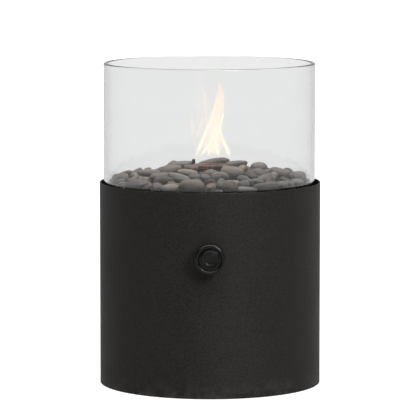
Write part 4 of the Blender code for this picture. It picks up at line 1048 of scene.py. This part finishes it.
def make_fire():
    """The flame: a pale wide body and thin bright tongues, each crossed so that it has depth."""
    mm = 0.001
    foot = FLAME_FOOT / mm
    # Stations: height over the burner, place across and half width, in millimetres.
    veil = [(4, 2.4, 13.0), (17, 2.2, 11.4), (26, 3.2, 9.0), (36, 5.4, 7.6), (46, 7.2, 6.8),
            (55, 8.8, 5.6), (64, 9.7, 3.9), (71, 8.8, 2.4), (78, 7.0, 0.7)]
    tongues = [
        [(3, -13.9, 2.6), (7, -12.4, 3.2), (17, -8.0, 3.5), (26, -4.0, 3.3), (37, 0.3, 2.9),
         (47, 3.7, 2.4), (58, 7.0, 1.9), (68, 8.8, 1.0)],
        [(4, -10.0, 2.2), (6, -8.6, 2.8), (12, -4.0, 2.8), (18, 0.0, 2.6), (25, 3.5, 2.5),
         (31, 6.9, 2.5), (38, 10.0, 2.2), (44, 11.8, 1.6), (52, 12.4, 0.9)],
        [(4, -1.8, 2.2), (8, -1.1, 2.5), (14, 0.1, 2.4), (25, 1.8, 2.2), (35, 2.6, 1.9),
         (46, 3.6, 1.2)],
        [(5, 8.2, 2.4), (8, 7.4, 2.8), (14, 5.8, 2.8), (22, 5.8, 2.4), (29, 7.2, 1.9),
         (38, 8.8, 1.1)],
        [(3, 18.8, 2.4), (7, 17.2, 3.0), (14, 14.7, 3.4), (22, 10.8, 3.1), (28, 8.9, 2.7),
         (35, 9.6, 2.3), (42, 11.4, 1.7), (50, 12.6, 0.9)],
    ]
    wisps = [
        [(6, -12.2, 1.2), (14, -13.2, 1.9), (24, -15.2, 2.6), (37, -17.2, 3.0), (50, -14.6, 1.2)],
        [(20, -13.4, 2.2), (28, -10.2, 4.0), (37, -7.2, 3.0), (47, -7.6, 1.0)],
        [(26, -2.4, 2.0), (44, -3.8, 3.0), (56, -4.8, 3.4), (70, -5.8, 1.2)],
    ]
    depths = (2.5, -3.0, 4.0, -4.5, 0.5)
    pale = make_flame("flame_veil", (1.0, 0.90, 0.76), (1.0, 0.82, 0.70), 0.80, 0.55, 1.10)
    bright = make_flame("flame_tongue", (1.0, 1.0, 0.80), (1.0, 0.94, 0.72), 0.97, 0.05, 1.17)
    faint = make_flame("flame_wisp", (1.0, 0.88, 0.78), (1.0, 0.84, 0.74), 0.55, 0.05, 1.05)
    for name, finish, flames, yaws in (("flame_veils", pale, [veil], (0, 60, 120)),
                                       ("flame_tongues", bright, tongues, (0, 90)),
                                       ("flame_wisps", faint, wisps, (0, 90))):
        shape = bmesh.new()
        flow = shape.loops.layers.uv.new("flow")
        for number, stations in enumerate(flames):
            path = [((foot + z) * mm, x * mm, w * mm) for z, x, w in stations]
            depth = depths[number] * mm if len(flames) > 1 else 0.0
            for yaw in yaws:
                ribbon(shape, flow, path, radians(yaw), (AXIS_X, AXIS_Y + depth))
        mesh = to_mesh(name, shape)
        mesh.shade_smooth()
        add_piece(name, mesh, finish, "housing")


# ---- knob -----------------------------------------------------------------------------------

RIBS = 26
DISH_RADIUS = 0.010
DISH_DEPTH = 0.003


def make_knob():
    """A hollow knob with a dished face and grooves that fade out towards its rim."""
    depth, radius = KNOB_DEPTH, KNOB_RADIUS
    recess, floor = DISH_RADIUS, depth - DISH_DEPTH
    hub, skin, roof = 0.0058, 0.0016, depth - 0.005
    bends = [pi / 2 * step / 6 for step in range(7)]
    inner, outer = 0.0014, 0.0015                    # how far the rim's two edges are rounded
    rim = [(recess + inner * (1 - cos(bend)), depth - inner * (1 - sin(bend))) for bend in bends]
    rim += [(radius - outer * (1 - sin(bend)), depth - outer * (1 - cos(bend))) for bend in bends]
    profile = [(0.0, floor), (recess, floor), *rim, (radius, 0.0006),
               (radius - 0.0006, 0.0), (radius - skin, 0.0), (radius - skin, roof),
               (hub, roof), (hub, 0.001), (0.0033, 0.001), (0.0033, depth - 0.006),
               (0.0, depth - 0.006)]
    shape = spun(profile, RIBS * 10, False, (0.0, 0.0))
    soften(shape, 0.00028, 3, 30)
    side = [edge for edge in shape.edges
            if abs(edge.verts[0].co.z - edge.verts[1].co.z) > depth * 0.5
            and hypot(*edge.verts[0].co.xy) > radius - 0.0002]
    bmesh.ops.subdivide_edges(shape, edges=side, cuts=8, use_grid_fill=True)
    for vert in shape.verts:
        away = hypot(vert.co.x, vert.co.y)
        if away > radius - skin + 0.0002:
            angle = atan2(vert.co.y, vert.co.x) * RIBS
            groove = max(0.0, cos(angle)) ** 1.3
            reach = min(1.0, max(0.0, (depth - 0.0022 - vert.co.z) / 0.0020))
            edge = min(1.0, max(0.0, (away - (radius - skin)) / skin))
            pull = 1.0 - 0.00110 * groove * reach * edge / away
            vert.co.x *= pull
            vert.co.y *= pull
    lay_forward(shape, knob_high.y)
    finish_piece("knob_fine", shape, KNOB_PLASTIC, "knob", ("knob",), 50)


def make_knob_cap():
    """The cap that lies in the knob's dish, with a ring round its middle."""
    top, low, edge = KNOB_DEPTH, KNOB_DEPTH - DISH_DEPTH + 0.0003, DISH_RADIUS - 0.0003
    face = [(0.0, top - 0.0012), (0.0042, top - 0.0011), (0.0046, top - 0.00085),
            (0.0052, top - 0.00085), (0.0056, top - 0.0010), (0.0074, top - 0.0005),
            (0.0080, top - 0.0009), (0.0080, low + 0.0010), (edge, low + 0.0010), (edge, low),
            (0.0, low)]
    cap = spun(face, 96, False, (0.0, 0.0))
    soften(cap, 0.00018, 2, 30)
    lay_forward(cap, knob_high.y)
    finish_piece("knob_cap_fine", cap, KNOB_PLASTIC, "knob", ("knob_cap",), 50)


def make_knob_marks():
    """Two small raised marks on the cap: a drop for the flame and a bar for off."""
    front = KNOB_DEPTH - 0.0007
    proud = 0.0006
    drop_radius = 0.00115
    drop = bmesh.new()
    bmesh.ops.create_cone(drop, cap_ends=True, segments=28, radius1=drop_radius,
                          radius2=0.00095, depth=proud)
    for vert in drop.verts:
        if vert.co.y > 0:
            vert.co.x *= 1.0 - 0.75 * vert.co.y / drop_radius
            vert.co.y *= 1.7
    soften(drop, 0.00012, 2)
    bmesh.ops.translate(drop, verts=drop.verts, vec=(0.0048, 0.0008, front))
    bar = scaled_cube(0.0028, 0.0007, proud)
    soften(bar, 0.00015, 2)
    bmesh.ops.rotate(bar, verts=bar.verts, cent=(0, 0, 0), matrix=Matrix.Rotation(0.6, 3, "Z"))
    bmesh.ops.translate(bar, verts=bar.verts, vec=(-0.0034, -0.0050, front))
    marks = lay_forward(joined((drop, bar)), knob_high.y)
    finish_piece("knob_marks", marks, KNOB_PLASTIC, "knob", (), 50)


# ---- cartridge ------------------------------------------------------------------------------

def make_can():
    """The cartridge: its neck, domed shoulder, rolled foot and dished bottom, round a hollow."""
    low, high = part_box("gas_cartridge")
    radius = (high.x - low.x) / 2
    from_top = ((0.010, 0.0016), (0.010, 0.0), (0.0165, 0.0), (0.0172, 0.0008), (0.0172, 0.0038),
                (0.0165, 0.0046), (0.0230, 0.0056), (0.0300, 0.0073), (0.0370, 0.0100),
                (0.0430, 0.0135), (0.0480, 0.0178), (0.0515, 0.0225), (0.0540, 0.0280),
                (radius, 0.0340))
    from_foot = ((radius, 0.0034), (radius - 0.0006, 0.0012), (radius - 0.0025, 0.0),
                 (radius - 0.0052, 0.0), (radius - 0.0068, 0.0010), (radius - 0.0080, 0.0034),
                 (radius - 0.0130, 0.0046), (0.0240, 0.0062), (0.0232, 0.0056),
                 (0.0205, 0.0056), (0.0197, 0.0064), (0.0, 0.0070), (0.0, 0.010))
    bore = ((0.006, 0.012), (0.006, 0.0030))
    profile = [(away, high.z - down) for away, down in from_top]
    profile += [(away, low.z + up) for away, up in from_foot]
    profile += [(away, high.z - down) for away, down in bore]
    finish_piece("cartridge_can", spun(profile, 128), CAN_LACQUER, "cartridge",
                 ("gas_cartridge",), 42)


def make_can_valve():
    """The cartridge's threaded stem, over the disc that is crimped into its neck."""
    low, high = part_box("cartridge_valve")
    stem, cut = 0.0055, 0.0006
    disc = 0.0118
    threads, pitch = 9, 0.0078 / 9
    seat = high.z - 0.009
    profile = [(0.0, high.z - 0.0016), (0.0012, high.z - 0.0014), (0.0016, high.z),
               (stem - 0.0005, high.z)]
    for turn in range(threads):
        crest = high.z - 0.0008 - pitch * turn
        profile += [(stem, crest), (stem - cut, crest - pitch / 2)]
    profile += [(stem - cut, seat), (disc - 0.0005, seat), (disc, seat - 0.0005),
                (disc, seat - 0.0017), (0.0097, seat - 0.0017), (0.0097, low.z), (0.0, low.z)]
    finish_piece("cartridge_thread", spun(profile, MIDDLING, False), BRIGHT_STEEL, "cartridge",
                 ("cartridge_valve",), 30)


# ---- carried-over pieces --------------------------------------------------------------------

def refine_the_rest():
    """Every other CAD node keeps its shape, with softened edges and its own finish."""
    finishes = {
        "valve_plate": (SPANGLE, 0.00015), "heat_shield": (STAINLESS, 0.00012),
        "mixing_tube": (STAINLESS, 0.00012), "jet": (BRASS, 0.0001),
        "probe_bracket": (SPANGLE, 0.00012), "spark_electrode": (CERAMIC, 0.00012),
        "probe_capillary": (COPPER, 0.0), "capillary_nut": (BRASS, 0.00015),
        "magnet_unit": (BRIGHT_STEEL, 0.00015), "valve_body": (BRASS, 0.00015),
        "inlet_seal": (RUBBER, 0.0), "valve_plug": (BRASS, 0.0001),
        "cam": (INNER_PLASTIC, 0.0002), "stem_spring": (BRIGHT_STEEL, 0.0),
        "stem": (BRIGHT_STEEL, 0.00012), "spring_collar": (BRIGHT_STEEL, 0.00012),
        "piezo_igniter": (INNER_PLASTIC, 0.0002), "piezo_plunger": (CERAMIC, 0.00012),
        "piezo_clip": (SPANGLE, 0.00012), "ignition_lead": (SILICONE, 0.0),
    }
    for name in nodes:
        if name.startswith(("plate_tab", "tray_tab")):
            finishes[name] = (SPANGLE, 0.00015)
        if name.startswith(("plate_screw", "shield_screw", "valve_screw", "standoff")):
            finishes[name] = (BRIGHT_STEEL, 0.00012)
    bodies = frame["record"]["behaviour"]["bodies"]
    home = {node: body for body, members in bodies.items() for node in members}
    for name, (finish, bevel) in finishes.items():
        refined(name, finish, home[name], bevel)


def let_spring_give():
    """Gives the stem's spring a mesh of its own."""
    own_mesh(bpy.data.objects["fine_stem_spring"])


make_stage()
make_mantle()
make_seam()
make_base_ring()
make_feet()
make_tray()
make_glass()
make_pebbles()
make_gravel()
make_burner()
make_fire()
make_knob()
make_knob_cap()
make_knob_marks()
make_can()
make_can_valve()
refine_the_rest()
let_spring_give()
